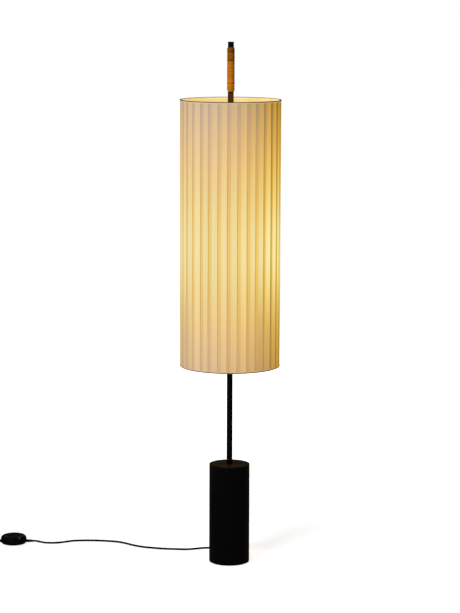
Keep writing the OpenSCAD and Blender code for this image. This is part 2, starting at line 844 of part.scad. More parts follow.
// One unbroken cane of winding_turns loops, each end straight for its own thickness
module handle_winding() {
    count = winding_turns * rings_per_turn;
    rings = concat(
        [cane_ring(0, -cane_t)],
        [for (i = [0 : count]) cane_ring(i / rings_per_turn, 0)],
        [cane_ring(winding_turns, cane_t)]
    );
    gap = min([for (i = [1 : count - rings_per_turn], j = [-1 : 1])
        norm(rings[i][1] - rings[i + rings_per_turn + j][0])]);
    echo(winding_least_gap_mm = gap);
    color([0.66, 0.4, 0.12])
        polyhedron(points = joined(rings), faces = skin_faces(len(rings), 6));
}

module handle_cap() {
    top_r = pole_r - cap_bevel;
    spigot_r = pole_bore_r - slip_gap;
    color([0.07, 0.07, 0.07])
        translate([0, 0, lamp_h])
            rotate_extrude()
                polygon([
                    [0, -cap_head_t - cap_spigot_h], [spigot_r, -cap_head_t - cap_spigot_h],
                    [spigot_r, -cap_head_t], [pole_r, -cap_head_t], [pole_r, -cap_bevel],
                    [top_r, 0], [0, 0]
                ]);
}

module cord_to_dimmer() {
    color([0.08, 0.08, 0.08])
        swept_tube(cord_route, cord_d, 8);
}

// Places its children at the dimmer's centre on the floor
module at_dimmer() {
    translate([dimmer_x, dimmer_y, 0]) children();
}

// Shape of a cord relief in the dimmer's wall, pointing along +X from the centre
module relief_shape(room) {
    translate([relief_in_x, 0, dimmer_cord_z])
        rotate([0, 90, 0])
            cylinder(r = relief_neck_r + room, h = dimmer_r - relief_in_x + room);
}

// Tapered relief with a flange inside the wall
module cord_relief() {
    relief_shape(0);
    translate([relief_in_x, 0, dimmer_cord_z])
        rotate([0, 90, 0])
            cylinder(r = relief_flange_r, h = relief_flange_t);
    translate([dimmer_r, 0, dimmer_cord_z])
        rotate([0, 90, 0])
            cylinder(d1 = relief_root_d, d2 = relief_tip_d, h = relief_len, $fn = 48);
}

module dimmer_inlet() {
    color([0.08, 0.08, 0.08]) at_dimmer() cord_relief();
}

module dimmer_outlet() {
    color([0.08, 0.08, 0.08]) at_dimmer() rotate([0, 0, 180]) cord_relief();
}

// Where the two screw bosses are
module at_bosses() {
    for (side = [-1, 1])
        translate([0, side * boss_y, 0]) children();
}

// Cuts for the reliefs on both sides
module relief_cuts() {
    for (turn = [0, 180])
        rotate([0, 0, turn]) relief_shape(slip_gap);
}

module dimmer_base() {
    color([0.05, 0.05, 0.05])
        at_dimmer()
            difference() {
                union() {
                    rotate_extrude()
                        polygon(concat(
                            [[0, dimmer_foot_t]],
                            arc(dimmer_skirt_x, dimmer_cord_z, dimmer_skirt_r, -90, 0, 6),
                            arc(dimmer_skirt_x, dimmer_cord_z, dimmer_skirt_in_r, 0, -90, 6),
                            [[0, dimmer_floor_z]]
                        ));
                    at_bosses()
                        translate([0, 0, dimmer_foot_t])
                            cylinder(d = boss_d, h = dimmer_cord_z - dimmer_foot_t);
                    for (x = [-1, 1], y = [-1, 1])
                        translate([
                            x * (board_l / 2 - post_inset), y * (board_w / 2 - post_inset),
                            dimmer_foot_t
                        ])
                            cylinder(d = post_d, h = board_z - dimmer_foot_t);
                }
                relief_cuts();
                at_bosses() {
                    cylinder(r = screw_d / 2 + slip_gap, h = dimmer_h);
                    cylinder(d = screw_head_d + 2 * slip_gap, h = head_seat_z);
                }
            }
}

// Direction of the pilot lamp, from the centre of the cover's shoulder
module at_pilot() {
    rotate([0, 0, pilot_turn])
        translate([dimmer_r - shoulder_r, 0, dimmer_h - shoulder_r])
            rotate([0, 90 - pilot_slope, 0])
                translate([0, 0, shoulder_r])
                    children();
}

module dimmer_cover() {
    in_r = shoulder_r - dimmer_wall;
    color([0.05, 0.05, 0.05])
        at_dimmer()
            difference() {
                union() {
                    rotate_extrude()
                        polygon(concat(
                            [[dimmer_r - dimmer_wall, dimmer_cord_z], [dimmer_r, dimmer_cord_z]],
                            arc(dimmer_r - shoulder_r, dimmer_h - shoulder_r, shoulder_r, 0, 90, 8),
                            [[0, dimmer_h], [0, dimmer_ceiling_z]],
                            arc(dimmer_r - shoulder_r, dimmer_h - shoulder_r, in_r, 90, 0, 8)
                        ));
                    at_bosses()
                        translate([0, 0, dimmer_cord_z])
                            cylinder(d = boss_d, h = dimmer_ceiling_z - dimmer_cord_z + dimmer_wall / 2);
                }
                relief_cuts();
                at_bosses()
                    cylinder(r = boss_bore_r, h = head_seat_z + screw_len + overrun);
                translate([-slot_l / 2, -stem_w / 2 - slider_gap, dimmer_ceiling_z - overrun])
                    cube([slot_l, stem_w + 2 * slider_gap, dimmer_wall + 2 * overrun]);
                at_pilot()
                    translate([0, 0, -dimmer_wall - overrun])
                        cylinder(d = pilot_d + 2 * slip_gap, h = dimmer_wall + 2 * overrun);
            }
}

module dimmer_feet() {
    color([0.2, 0.2, 0.2])
        at_dimmer()
            for (turn = [foot_turn, 180 - foot_turn, 180 + foot_turn, -foot_turn])
                rotate([0, 0, turn])
                    translate([foot_ring_r, 0, 0])
                        cylinder(d = dimmer_foot_d, h = dimmer_foot_t);
}

module dimmer_screws() {
    color("silver")
        at_dimmer()
            at_bosses() {
                translate([0, 0, head_seat_z - screw_head_h])
                    cylinder(d = screw_head_d, h = screw_head_h);
                translate([0, 0, head_seat_z - overrun])
                    cylinder(d = screw_d, h = screw_len + overrun);
            }
}

module dimmer_board() {
    color("darkgreen")
        at_dimmer()
            translate([-board_l / 2, -board_w / 2, board_z])
                cube([board_l, board_w, board_t]);
}

// Two screw terminals, one at each end of the board
module dimmer_terminals() {
    color("gray")
        at_dimmer()
            for (turn = [0, 180])
                rotate([0, 0, turn])
                    translate([board_l / 2 - terminal_l, -terminal_w / 2, pot_z])
                        cube([terminal_l, terminal_w, terminal_h]);
}

// Short cord ends between the reliefs and the terminals
module dimmer_leads() {
    color([0.15, 0.15, 0.15])
        at_dimmer()
            for (turn = [0, 180])
                rotate([0, 0, turn])
                    translate([board_l / 2, 0, dimmer_cord_z])
                        rotate([0, 90, 0])
                            cylinder(d = lead_end_d, h = relief_in_x - board_l / 2);
}

module dimmer_potentiometer() {
    color([0.3, 0.3, 0.32])
        at_dimmer()
            translate([-pot_l / 2, -pot_w / 2, pot_z])
                cube([pot_l, pot_w, pot_h]);
}

module dimmer_pilot() {
    color("red")
        at_dimmer()
            at_pilot()
                translate([0, 0, -dimmer_wall])
                    cylinder(d = pilot_d, h = dimmer_wall + pilot_proud);
}

// Knob on the cover, stem through the slot and retaining plate under the cover
module dimmer_slider() {
    rest_x = -slider_travel / 2;
    stem_z = pot_z + pot_h + slider_gap;
    knob_z = dimmer_h + slider_gap;
    color([0.16, 0.17, 0.18])
        at_dimmer()
            translate([rest_x, 0, 0]) {
                difference() {
                    translate([-knob_l / 2, -knob_w / 2, knob_z])
                        cube([knob_l, knob_w, knob_h]);
                    for (i = [1 : knob_grooves])
                        translate([
                            knob_l * (i / (knob_grooves + 1) - 0.5), 0, knob_z + knob_h
                        ])
                            cube([groove_w, knob_w + overrun, 2 * groove_depth], center = true);
                }
                translate([-stem_l / 2, -stem_w / 2, stem_z])
                    cube([stem_l, stem_w, knob_z + slider_gap - stem_z]);
                translate([-knob_l / 2, -knob_w / 2, dimmer_ceiling_z - slider_gap - retainer_t])
                    cube([knob_l, knob_w, retainer_t]);
            }
}

module cord_to_coil() {
    color([0.08, 0.08, 0.08])
        swept_tube(coil_lead_route, cord_d, 8);
}

// Centre of the coiled cord after u turns: in to the middle, up a layer and out again
function coil_point(u) =
    let (
        away = abs(u - coil_turns / 2),
        climb = min(max((u - coil_turns / 2 + 0.25) / 0.5, 0), 1),
        r = coil_in_r + coil_pitch * away
    )
    [
        coil_x + r * cos(90 + 360 * u),
        coil_y + r * sin(90 + 360 * u),
        coil_z + coil_pitch * climb * climb * (3 - 2 * climb)
    ];

// One unbroken cord of coil_turns loops in two layers, its ends straight for one diameter
module cord_coil() {
    count = coil_turns * rings_per_turn;
    route = concat(
        [coil_start],
        [for (i = [0 : count]) coil_point(i / rings_per_turn)],
        [coil_end]
    );
    gap = min([for (i = [0 : count + 2 - rings_per_turn / 2],
            j = [i + rings_per_turn / 2 : count + 2])
        norm(route[i] - route[j])]) - cord_d;
    echo(coil_least_gap_mm = gap);
    color([0.08, 0.08, 0.08])
        swept_tube(route, cord_d, 6);
}

// Flat strap round the stack of turns, opposite the coil's ends
module coil_tie() {
    near_r = coil_in_r + coil_pitch / 2 - cord_d / 2 - tie_gap;
    far_r = coil_out_r - coil_pitch / 2 + cord_d / 2 + tie_gap;
    room_h = cord_d + coil_pitch + 2 * tie_lift;
    color([0.2, 0.2, 0.22])
        translate([coil_x - tie_w / 2, coil_y - far_r, tie_t])
            difference() {
                translate([0, -tie_t, -tie_t])
                    cube([tie_w, far_r - near_r + 2 * tie_t, room_h + 2 * tie_t]);
                translate([-overrun, 0, 0])
                    cube([tie_w + 2 * overrun, far_r - near_r, room_h]);
            }
}

module cord_to_plug() {
    color([0.08, 0.08, 0.08])
        swept_tube(plug_lead_route, cord_d, 8);
}

module plug_relief() {
    color([0.08, 0.08, 0.08])
        translate(plug_start)
            rotate([0, -90, 0])
                cylinder(d1 = plug_relief_tip_d, d2 = relief_root_d, h = plug_relief_len, $fn = 48);
}

// Flat plug body that narrows towards its cord
module plug_body() {
    front_w = plug_w - 2 * plug_corner;
    color([0.07, 0.07, 0.07])
        translate([plug_x, plug_start[1], 0])
            linear_extrude(height = plug_t)
                polygon([
                    [0, -plug_neck_w / 2], [0, plug_neck_w / 2], [-plug_taper_l, plug_w / 2],
                    [-plug_l + plug_corner, plug_w / 2], [-plug_l, front_w / 2],
                    [-plug_l, -front_w / 2], [-plug_l + plug_corner, -plug_w / 2],
                    [-plug_taper_l, -plug_w / 2]
                ]);
}

module plug_pins() {
    color("silver")
        for (side = [-1, 1])
            translate([plug_x - plug_l, plug_start[1] + side * pin_spacing / 2, plug_t / 2])
                rotate([0, -90, 0])
                    cylinder(d = pin_d, h = pin_l);
}

base_foot_pad();
base_plate();
base_washer();
base_nut();
base_ballast();
base_sleeve();
base_top_disc();
cord_gland();
inner_lead();
lower_pole();
pole_nipple();
upper_pole();
crossbar();
holder_nipple(-1);  // left_holder_nipple
holder_nipple(1);  // right_holder_nipple
holder_nuts();
holder_base(-1);  // left_holder_base
holder_base(1);  // right_holder_base
holder_shell(-1);  // left_holder_shell
holder_shell(1);  // right_holder_shell
holder_lead(-1);  // left_holder_lead
holder_lead(1);  // right_holder_lead
bulb_cap(-1);  // left_bulb_cap
bulb_cap(1);  // right_bulb_cap
bulb_glass(-1);  // left_bulb_glass
bulb_glass(1);  // right_bulb_glass
top_frame();
bottom_frame();
shade_liner();
shade_ribbons();
shade_binding(shade_top_z, -1);  // top_binding
shade_binding(shade_z, 1);  // bottom_binding
handle_nipple();
handle_tube();
handle_winding();
handle_cap();
cord_to_dimmer();
dimmer_inlet();
dimmer_outlet();
dimmer_base();
dimmer_cover();
dimmer_feet();
dimmer_screws();
dimmer_board();
dimmer_terminals();
dimmer_leads();
dimmer_potentiometer();
dimmer_pilot();
dimmer_slider();
cord_to_coil();
cord_coil();
coil_tie();
cord_to_plug();
plug_relief();
plug_body();
plug_pins();
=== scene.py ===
"""Looks of a floor lamp: a ribbon drum shade on a black pole, a cane handle and a foot dimmer.

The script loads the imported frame, dresses its nodes, and builds the soft, wound and
moulded pieces round it. Lengths are metres, +Z is up and the floor is at z = 0. The
front of the lamp faces -Y, and its cord leaves the back and runs off to -X.
"""

from __future__ import annotations

import json
import logging
import math
from collections.abc import Sequence
from dataclasses import dataclass, field
from enum import Enum

import bmesh
import bpy
import numpy as np
from mathutils import Matrix, Vector

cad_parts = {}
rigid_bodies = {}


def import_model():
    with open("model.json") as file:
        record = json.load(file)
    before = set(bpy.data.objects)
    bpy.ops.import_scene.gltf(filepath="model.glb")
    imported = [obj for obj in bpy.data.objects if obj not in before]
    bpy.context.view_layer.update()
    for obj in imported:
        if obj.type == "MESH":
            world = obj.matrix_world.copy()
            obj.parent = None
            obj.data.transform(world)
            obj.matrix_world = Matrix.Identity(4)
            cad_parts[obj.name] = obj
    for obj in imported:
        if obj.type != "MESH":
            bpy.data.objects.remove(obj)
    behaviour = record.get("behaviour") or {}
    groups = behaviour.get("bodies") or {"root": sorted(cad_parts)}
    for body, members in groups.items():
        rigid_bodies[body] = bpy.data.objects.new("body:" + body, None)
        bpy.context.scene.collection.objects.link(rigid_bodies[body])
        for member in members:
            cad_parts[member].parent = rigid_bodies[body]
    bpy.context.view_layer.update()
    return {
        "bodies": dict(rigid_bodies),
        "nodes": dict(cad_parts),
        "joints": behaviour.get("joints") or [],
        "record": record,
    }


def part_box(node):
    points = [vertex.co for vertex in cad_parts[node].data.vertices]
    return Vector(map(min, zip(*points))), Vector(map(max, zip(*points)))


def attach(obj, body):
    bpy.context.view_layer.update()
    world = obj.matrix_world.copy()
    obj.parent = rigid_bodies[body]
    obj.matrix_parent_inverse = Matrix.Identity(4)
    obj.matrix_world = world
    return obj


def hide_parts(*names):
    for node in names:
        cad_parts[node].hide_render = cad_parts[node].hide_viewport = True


LOG = logging.getLogger("lamp")
MM = 0.001
UP = np.array([0.0, 0.0, 1.0])
FULL_TURN = 2 * math.pi
SHARP_ANGLE = math.radians(38)
DOUBLE_DISTANCE = 1e-6

Array = np.ndarray
Colour = tuple[float, float, float]
Glow = tuple[Colour, ...]
Point = tuple[float, float, float]
Span = tuple[float, float]
Piece = bpy.types.Object
Socket = bpy.types.NodeSocket


class Body(Enum):
    """The two bodies of the lamp."""

    LAMP = "lamp"
    SLIDER = "slider"


class Slot(Enum):
    """Material slots of the record, each with one finish here."""

    BLACK_LACQUER = "black_lacquer"
    DISC_LACQUER = "disc_lacquer"
    BALLAST_IRON = "ballast_iron"
    BARE_STEEL = "bare_steel"
    PIN_METAL = "pin_metal"
    FELT = "felt"
    SOFT_BLACK = "soft_black"
    CORD_SHEATH = "cord_sheath"
    LEAD_SLEEVE = "lead_sleeve"
    HOLDER_PLASTIC = "holder_plastic"
    OPAL_GLASS = "opal_glass"
    CAP_METAL = "cap_metal"
    LINER_FILM = "liner_film"
    RIBBON_FABRIC = "ribbon_fabric"
    BINDING_TAPE = "binding_tape"
    CANE = "cane"
    END_CAP_BLACK = "end_cap_black"
    DIMMER_PLASTIC = "dimmer_plastic"
    SLIDER_PLASTIC = "slider_plastic"
    PILOT_RED = "pilot_red"
    BOARD_GREEN = "board_green"
    PART_GREY = "part_grey"
    TIE_FABRIC = "tie_fabric"
    PLUG_PLASTIC = "plug_plastic"


# --- Surfaces -----------------------------------------------------------------------


@dataclass(frozen=True)
class Box:
    """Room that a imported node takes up: its lowest and its highest corner."""

    low: Vector
    high: Vector

    @classmethod
    def of(cls, node: str) -> Box:
        """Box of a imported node."""
        return cls(*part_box(node))

    @property
    def middle(self) -> Vector:
        """Centre of the box."""
        return (self.low + self.high) / 2

    @property
    def size(self) -> Vector:
        """Width, depth and height of the box."""
        return self.high - self.low


def eased(x: Array) -> Array:
    """Rise from 0 to 1 that is level at both ends: 3x^2 - 2x^3, with x held to 0..1."""
    x = np.clip(x, 0.0, 1.0)
    return x * x * (3.0 - 2.0 * x)


def unit(vectors: Array) -> Array:
    """Vectors divided by their own lengths."""
    return vectors / np.linalg.norm(vectors, axis=-1, keepdims=True)


def turned(angle: Array) -> Array:
    """Unit vectors in the floor plane at angles from +X towards +Y, in radians."""
    return np.stack([np.cos(angle), np.sin(angle), np.zeros_like(angle)], axis=-1)


def closed(ring: Array) -> Array:
    """A ring of points or numbers with its first one again at the end."""
    return np.concatenate([ring, ring[:1]])


def arc_lengths(line: Array) -> Array:
    """Distance along a line at each of its points."""
    return np.concatenate([[0.0], np.cumsum(np.linalg.norm(np.diff(line, axis=0), axis=1))])


def circle(radius: float, sides: int) -> Array:
    """Outline of a circle: radius times the cosine and sine of even angles."""
    angle = np.linspace(0.0, FULL_TURN, sides, endpoint=False)
    return radius * np.stack([np.cos(angle), np.sin(angle)], axis=-1)


def even_path(points: Array, step: float) -> Array:
    """Smooth line through chosen points, at even steps.

    Between two points the line is a cubic whose ends point along the chords of their
    neighbours (Catmull-Rom), and it is then walked at equal arc lengths.

    Args:
        points: Chosen points, in order.
        step: Distance between the returned points, about.

    Returns:
        Points along the line, one a row.
    """
    p = np.asarray(points, float)
    p = np.concatenate([[2 * p[0] - p[1]], p, [2 * p[-1] - p[-2]]])
    a, b, c, d = p[:-3, None], p[1:-2, None], p[2:-1, None], p[3:, None]
    t = np.linspace(0.0, 1.0, 16, endpoint=False)[None, :, None]
    line = 0.5 * (2 * b + (c - a) * t + (2 * a - 5 * b + 4 * c - d) * t**2 + (3 * b - a - 3 * c + d) * t**3)
    line = np.concatenate([line.reshape(-1, 3), p[-2:-1]])
    along = arc_lengths(line)
    wanted = np.linspace(0.0, along[-1], max(2, round(along[-1] / step)) + 1)
    return np.stack([np.interp(wanted, along, line[:, k]) for k in range(3)], axis=-1)


def swept(path: Array, section: Array, up: Point = (0.0, 0.0, 1.0)) -> Array:
    """Section carried along a path, square to it all the way.

    A point of ring i is path[i] + x * side[i] + y * lift[i], where side is up crossed
    with the path's direction, and lift is the direction crossed with side.

    Args:
        path: Points along the path.
        section: Outline points (x, y).
        up: Direction that the path never follows.

    Returns:
        Points, path by outline.
    """
    ahead = unit(np.gradient(path, axis=0))
    side = unit(np.cross(np.asarray(up), ahead))
    return path[:, None] + section[:, :1] * side[:, None] + section[:, 1:] * np.cross(ahead, side)[:, None]


def revolved(profile: Array, sides: int) -> Array:
    """Profile of (radius, height) turned round the Z axis at even angles."""
    out = turned(np.linspace(0.0, FULL_TURN, sides, endpoint=False))
    return profile[:, None, :1] * out[None] + profile[:, None, 1:] * UP


def arc(centre: Span, radius: float, start: float, end: float, steps: int) -> Array:
    """Points of an arc between two angles in degrees, both ends included."""
    angle = np.radians(np.linspace(start, end, steps + 1))
    return np.asarray(centre) + radius * np.stack([np.cos(angle), np.sin(angle)], axis=-1)


def round_rectangle(low: Span, high: Span, radius: float, steps: int = 4) -> Array:
    """Outline of a rectangle whose corners are quarter circles, turning left.

    Args:
        low: Corner with the lowest values.
        high: Corner with the highest values.
        radius: Radius of the corners.
        steps: Steps in each corner.

    Returns:
        Points of the outline, from the corner at the lower right.
    """
    x0, x1 = low[0] + radius, high[0] - radius
    y0, y1 = low[1] + radius, high[1] - radius
    corners = ((x1, y0, -90), (x1, y1, 0), (x0, y1, 90), (x0, y0, 180))
    return np.concatenate([arc((x, y), radius, start, start + 90, steps) for x, y, start in corners])


class Skin:
    """Grids of points that together become one mesh, with a map coordinate per point."""

    def __init__(self) -> None:
        """Starts with no surfaces."""
        self.points: list[Array] = []
        self.faces: list[list[int]] = []
        self.maps: list[Array] = []
        self.tones: list[Array] = []
        self.count = 0

    def add(
        self,
        grid: Array,
        across: Array | None = None,
        along: Array | None = None,
        *,
        wrap_rows: bool = False,
        wrap_cols: bool = True,
        caps: bool = False,
        tone: float = 0.0,
    ) -> Skin:
        """Adds a surface: rows by columns of points.

        Args:
            grid: The points, rows by columns.
            across: Map coordinate of each column. It has one more where columns wrap.
            along: Map coordinate of each row. It has one more where rows wrap.
            wrap_rows: Whether the last row joins the first.
            wrap_cols: Whether the last column joins the first.
            caps: Whether the first and last rows are closed with a face each.
            tone: A number for the whole surface, kept as its own attribute.

        Returns:
            The skin itself.
        """
        rows, cols = grid.shape[:2]
        map_rows, map_cols = rows + wrap_rows, cols + wrap_cols
        across = np.linspace(0, 1, map_cols) if across is None else across
        along = np.linspace(0, 1, map_rows) if along is None else along
        chart = np.stack(np.broadcast_arrays(across[None, :], along[:, None]), axis=-1)
        r, c = np.arange(map_rows - 1)[:, None], np.arange(map_cols - 1)[None, :]
        corners = ((0, 0), (0, 1), (1, 1), (1, 0))
        quads = np.stack([(r + i) % rows * cols + (c + j) % cols for i, j in corners], axis=-1)
        self.faces += (quads.reshape(-1, 4) + self.count).tolist()
        self.maps.append(np.stack([chart[r + i, c + j] for i, j in corners], axis=2).reshape(-1, 2))
        for row in (0, rows - 1) if caps else ():
            self.faces.append((np.arange(cols) + row * cols + self.count).tolist())
            self.maps.append(chart[row, :cols])
        self.points.append(grid.reshape(-1, 3))
        self.tones.append(np.full(rows * cols, tone))
        self.count += rows * cols
        return self

    def to_object(self, name: str) -> Piece:
        """Makes the mesh object, with its doubles merged and its faces pointing out.

        Args:
            name: Name of the object and its mesh.

        Returns:
            The new object, at the origin.
        """
        mesh = bpy.data.meshes.new(name)
        mesh.from_pydata(np.concatenate(self.points).tolist(), [], self.faces)
        mesh.uv_layers.new(name="UVMap").data.foreach_set("uv", np.concatenate(self.maps).ravel())
        tone = mesh.attributes.new("tone", "FLOAT", "POINT")
        tone.data.foreach_set("value", np.concatenate(self.tones))
        work = bmesh.new()
        work.from_mesh(mesh)
        bmesh.ops.remove_doubles(work, verts=work.verts, dist=DOUBLE_DISTANCE)
        bmesh.ops.recalc_face_normals(work, faces=work.faces)
        work.to_mesh(mesh)
        work.free()
        mesh.polygons.foreach_set("use_smooth", np.ones(len(mesh.polygons), bool))
        mesh.set_sharp_from_angle(angle=SHARP_ANGLE)
        made = bpy.data.objects.new(name, mesh)
        bpy.context.scene.collection.objects.link(made)
        return made


def tube(path: Array, radius: float, sides: int, up: Point = (0.0, 0.0, 1.0)) -> Skin:
    """Round skin along a path, with its map in shares round and metres along."""
    return Skin().add(swept(path, circle(radius, sides), up), along=arc_lengths(path), caps=True)


# --- Shader nodes -------------------------------------------------------------------


class Field:
    """A number or colour that changes over a surface. Arithmetic on it adds nodes."""

    def __init__(self, nodes: Nodes, socket: Socket) -> None:
        """Wraps one output of a node."""
        self.nodes, self.socket = nodes, socket

    def __add__(self, other: Field | float) -> Field:
        """Sum with another field or a number."""
        return self.nodes.math("ADD", self, other)

    def __sub__(self, other: Field | float) -> Field:
        """This field less another field or a number."""
        return self.nodes.math("SUBTRACT", self, other)

    def __rsub__(self, other: float) -> Field:
        """A number less this field."""
        return self.nodes.math("SUBTRACT", other, self)

    def __mul__(self, other: Field | float) -> Field:
        """Product with another field or a number."""
        return self.nodes.math("MULTIPLY", self, other)

    def __truediv__(self, other: Field | float) -> Field:
        """This field divided by another field or a number."""
        return self.nodes.math("DIVIDE", self, other)

    def __rtruediv__(self, other: float) -> Field:
        """A number divided by this field."""
        return self.nodes.math("DIVIDE", other, self)

    def __abs__(self) -> Field:
        """Size without the sign."""
        return self.nodes.math("ABSOLUTE", self)

    def span(self, start: float, end: float, low: float = 0.0, high: float = 1.0) -> Field:
        """Maps start..end smoothly to low..high and holds what lies outside."""
        values = (self, start, end, low, high)
        return self.nodes.result("ShaderNodeMapRange", values, interpolation_type="SMOOTHSTEP")


class Nodes:
    """Short calls that add nodes to one tree and link them."""

    def __init__(self, tree: bpy.types.NodeTree) -> None:
        """Works on the given tree."""
        self.tree = tree

    def node(self, kind: str, **settings: object) -> bpy.types.Node:
        """Adds a node.

        Args:
            kind: Type of the node.
            **settings: Its settings by name.

        Returns:
            The new node.
        """
        made = self.tree.nodes.new(kind)
        for name, value in settings.items():
            setattr(made, name, value)
        return made

    def feed(self, socket: Socket, value: object) -> None:
        """Links an input to a field, or writes a constant on it.

        Args:
            socket: The input.
            value: A field, a number, a colour or a vector.
        """
        if isinstance(value, Field):
            self.tree.links.new(value.socket, socket)
        elif isinstance(value, tuple) and socket.type == "RGBA":
            socket.default_value = (*value, 1.0)
        else:
            socket.default_value = value

    def result(self, kind: str, values: dict | Sequence, output: int | str = 0, **settings: object) -> Field:
        """Adds a node and feeds its inputs.

        Args:
            kind: Type of the node.
            values: Values of its first inputs in their order, or of any by place or name.
            output: Place or name of the wanted output.
            **settings: Settings of the node by name.

        Returns:
            The wanted output.
        """
        made = self.node(kind, **settings)
        for key, value in values.items() if isinstance(values, dict) else enumerate(values):
            self.feed(made.inputs[key], value)
        return Field(self, made.outputs[output])

    def math(self, operation: str, *values: object, clamp: bool = False) -> Field:
        """Adds a Math node and gives its result."""
        return self.result("ShaderNodeMath", values, operation=operation, use_clamp=clamp)

    def mix(self, share: object, a: object, b: object, blend: str = "MIX") -> Field:
        """Mixes two colours by a share, which is how far the result is the second one."""
        settings = {"data_type": "RGBA", "blend_type": blend, "clamp_factor": True}
        return self.result("ShaderNodeMix", {0: share, 6: a, 7: b}, 2, **settings)

    def scaled(self, colour: object, amount: Field) -> Field:
        """Multiplies a colour by a number that changes over the surface."""
        grey = self.result("ShaderNodeCombineColor", (amount,) * 3)
        return self.mix(1.0, colour, grey, "MULTIPLY")

    def ramp(self, share: Field, places: Sequence[float], colours: Glow) -> Field:
        """Adds a colour ramp.

        Args:
            share: Place on the ramp.
            places: Places of its stops.
            colours: Colours of its stops.

        Returns:
            The colour at the share.
        """
        made = self.node("ShaderNodeValToRGB")
        elements = made.color_ramp.elements
        while len(elements) < len(places):
            elements.new(0.5)
        for element, place, colour in zip(elements, places, colours):
            element.position, element.color = place, (*colour, 1.0)
        self.feed(made.inputs[0], share)
        return Field(self, made.outputs[0])

    def noise(self, vector: Field, scale: float, detail: float = 3.0, roughness: float = 0.5) -> Field:
        """3-D noise about 0.5, with octaves of finer noise and their weight."""
        values = {"Vector": vector, "Scale": scale, "Detail": detail, "Roughness": roughness}
        return self.result("ShaderNodeTexNoise", values, "Fac")

    def parts(self, vector: Field) -> list[Field]:
        """X, Y and Z of a vector."""
        made = self.result("ShaderNodeSeparateXYZ", (vector,)).socket.node
        return [Field(self, socket) for socket in made.outputs]

    def place(self) -> Field:
        """Object coordinates of the surface."""
        return Field(self, self.node("ShaderNodeTexCoord").outputs["Object"])


class Effect(Enum):
    """Effects that several materials share: each one's name and the names of its inputs."""

    GRAIN = ("fine_grain", "Place", "Size")
    HANDLING = ("handling", "Place", "Amount")
    FIBRES = ("fibres", "Across", "Along", "Width", "Length")
    WEAVE = ("plain_weave", "Across", "Along", "Pitch")
    GLOBE_LIGHT = ("globe_light", "Place")


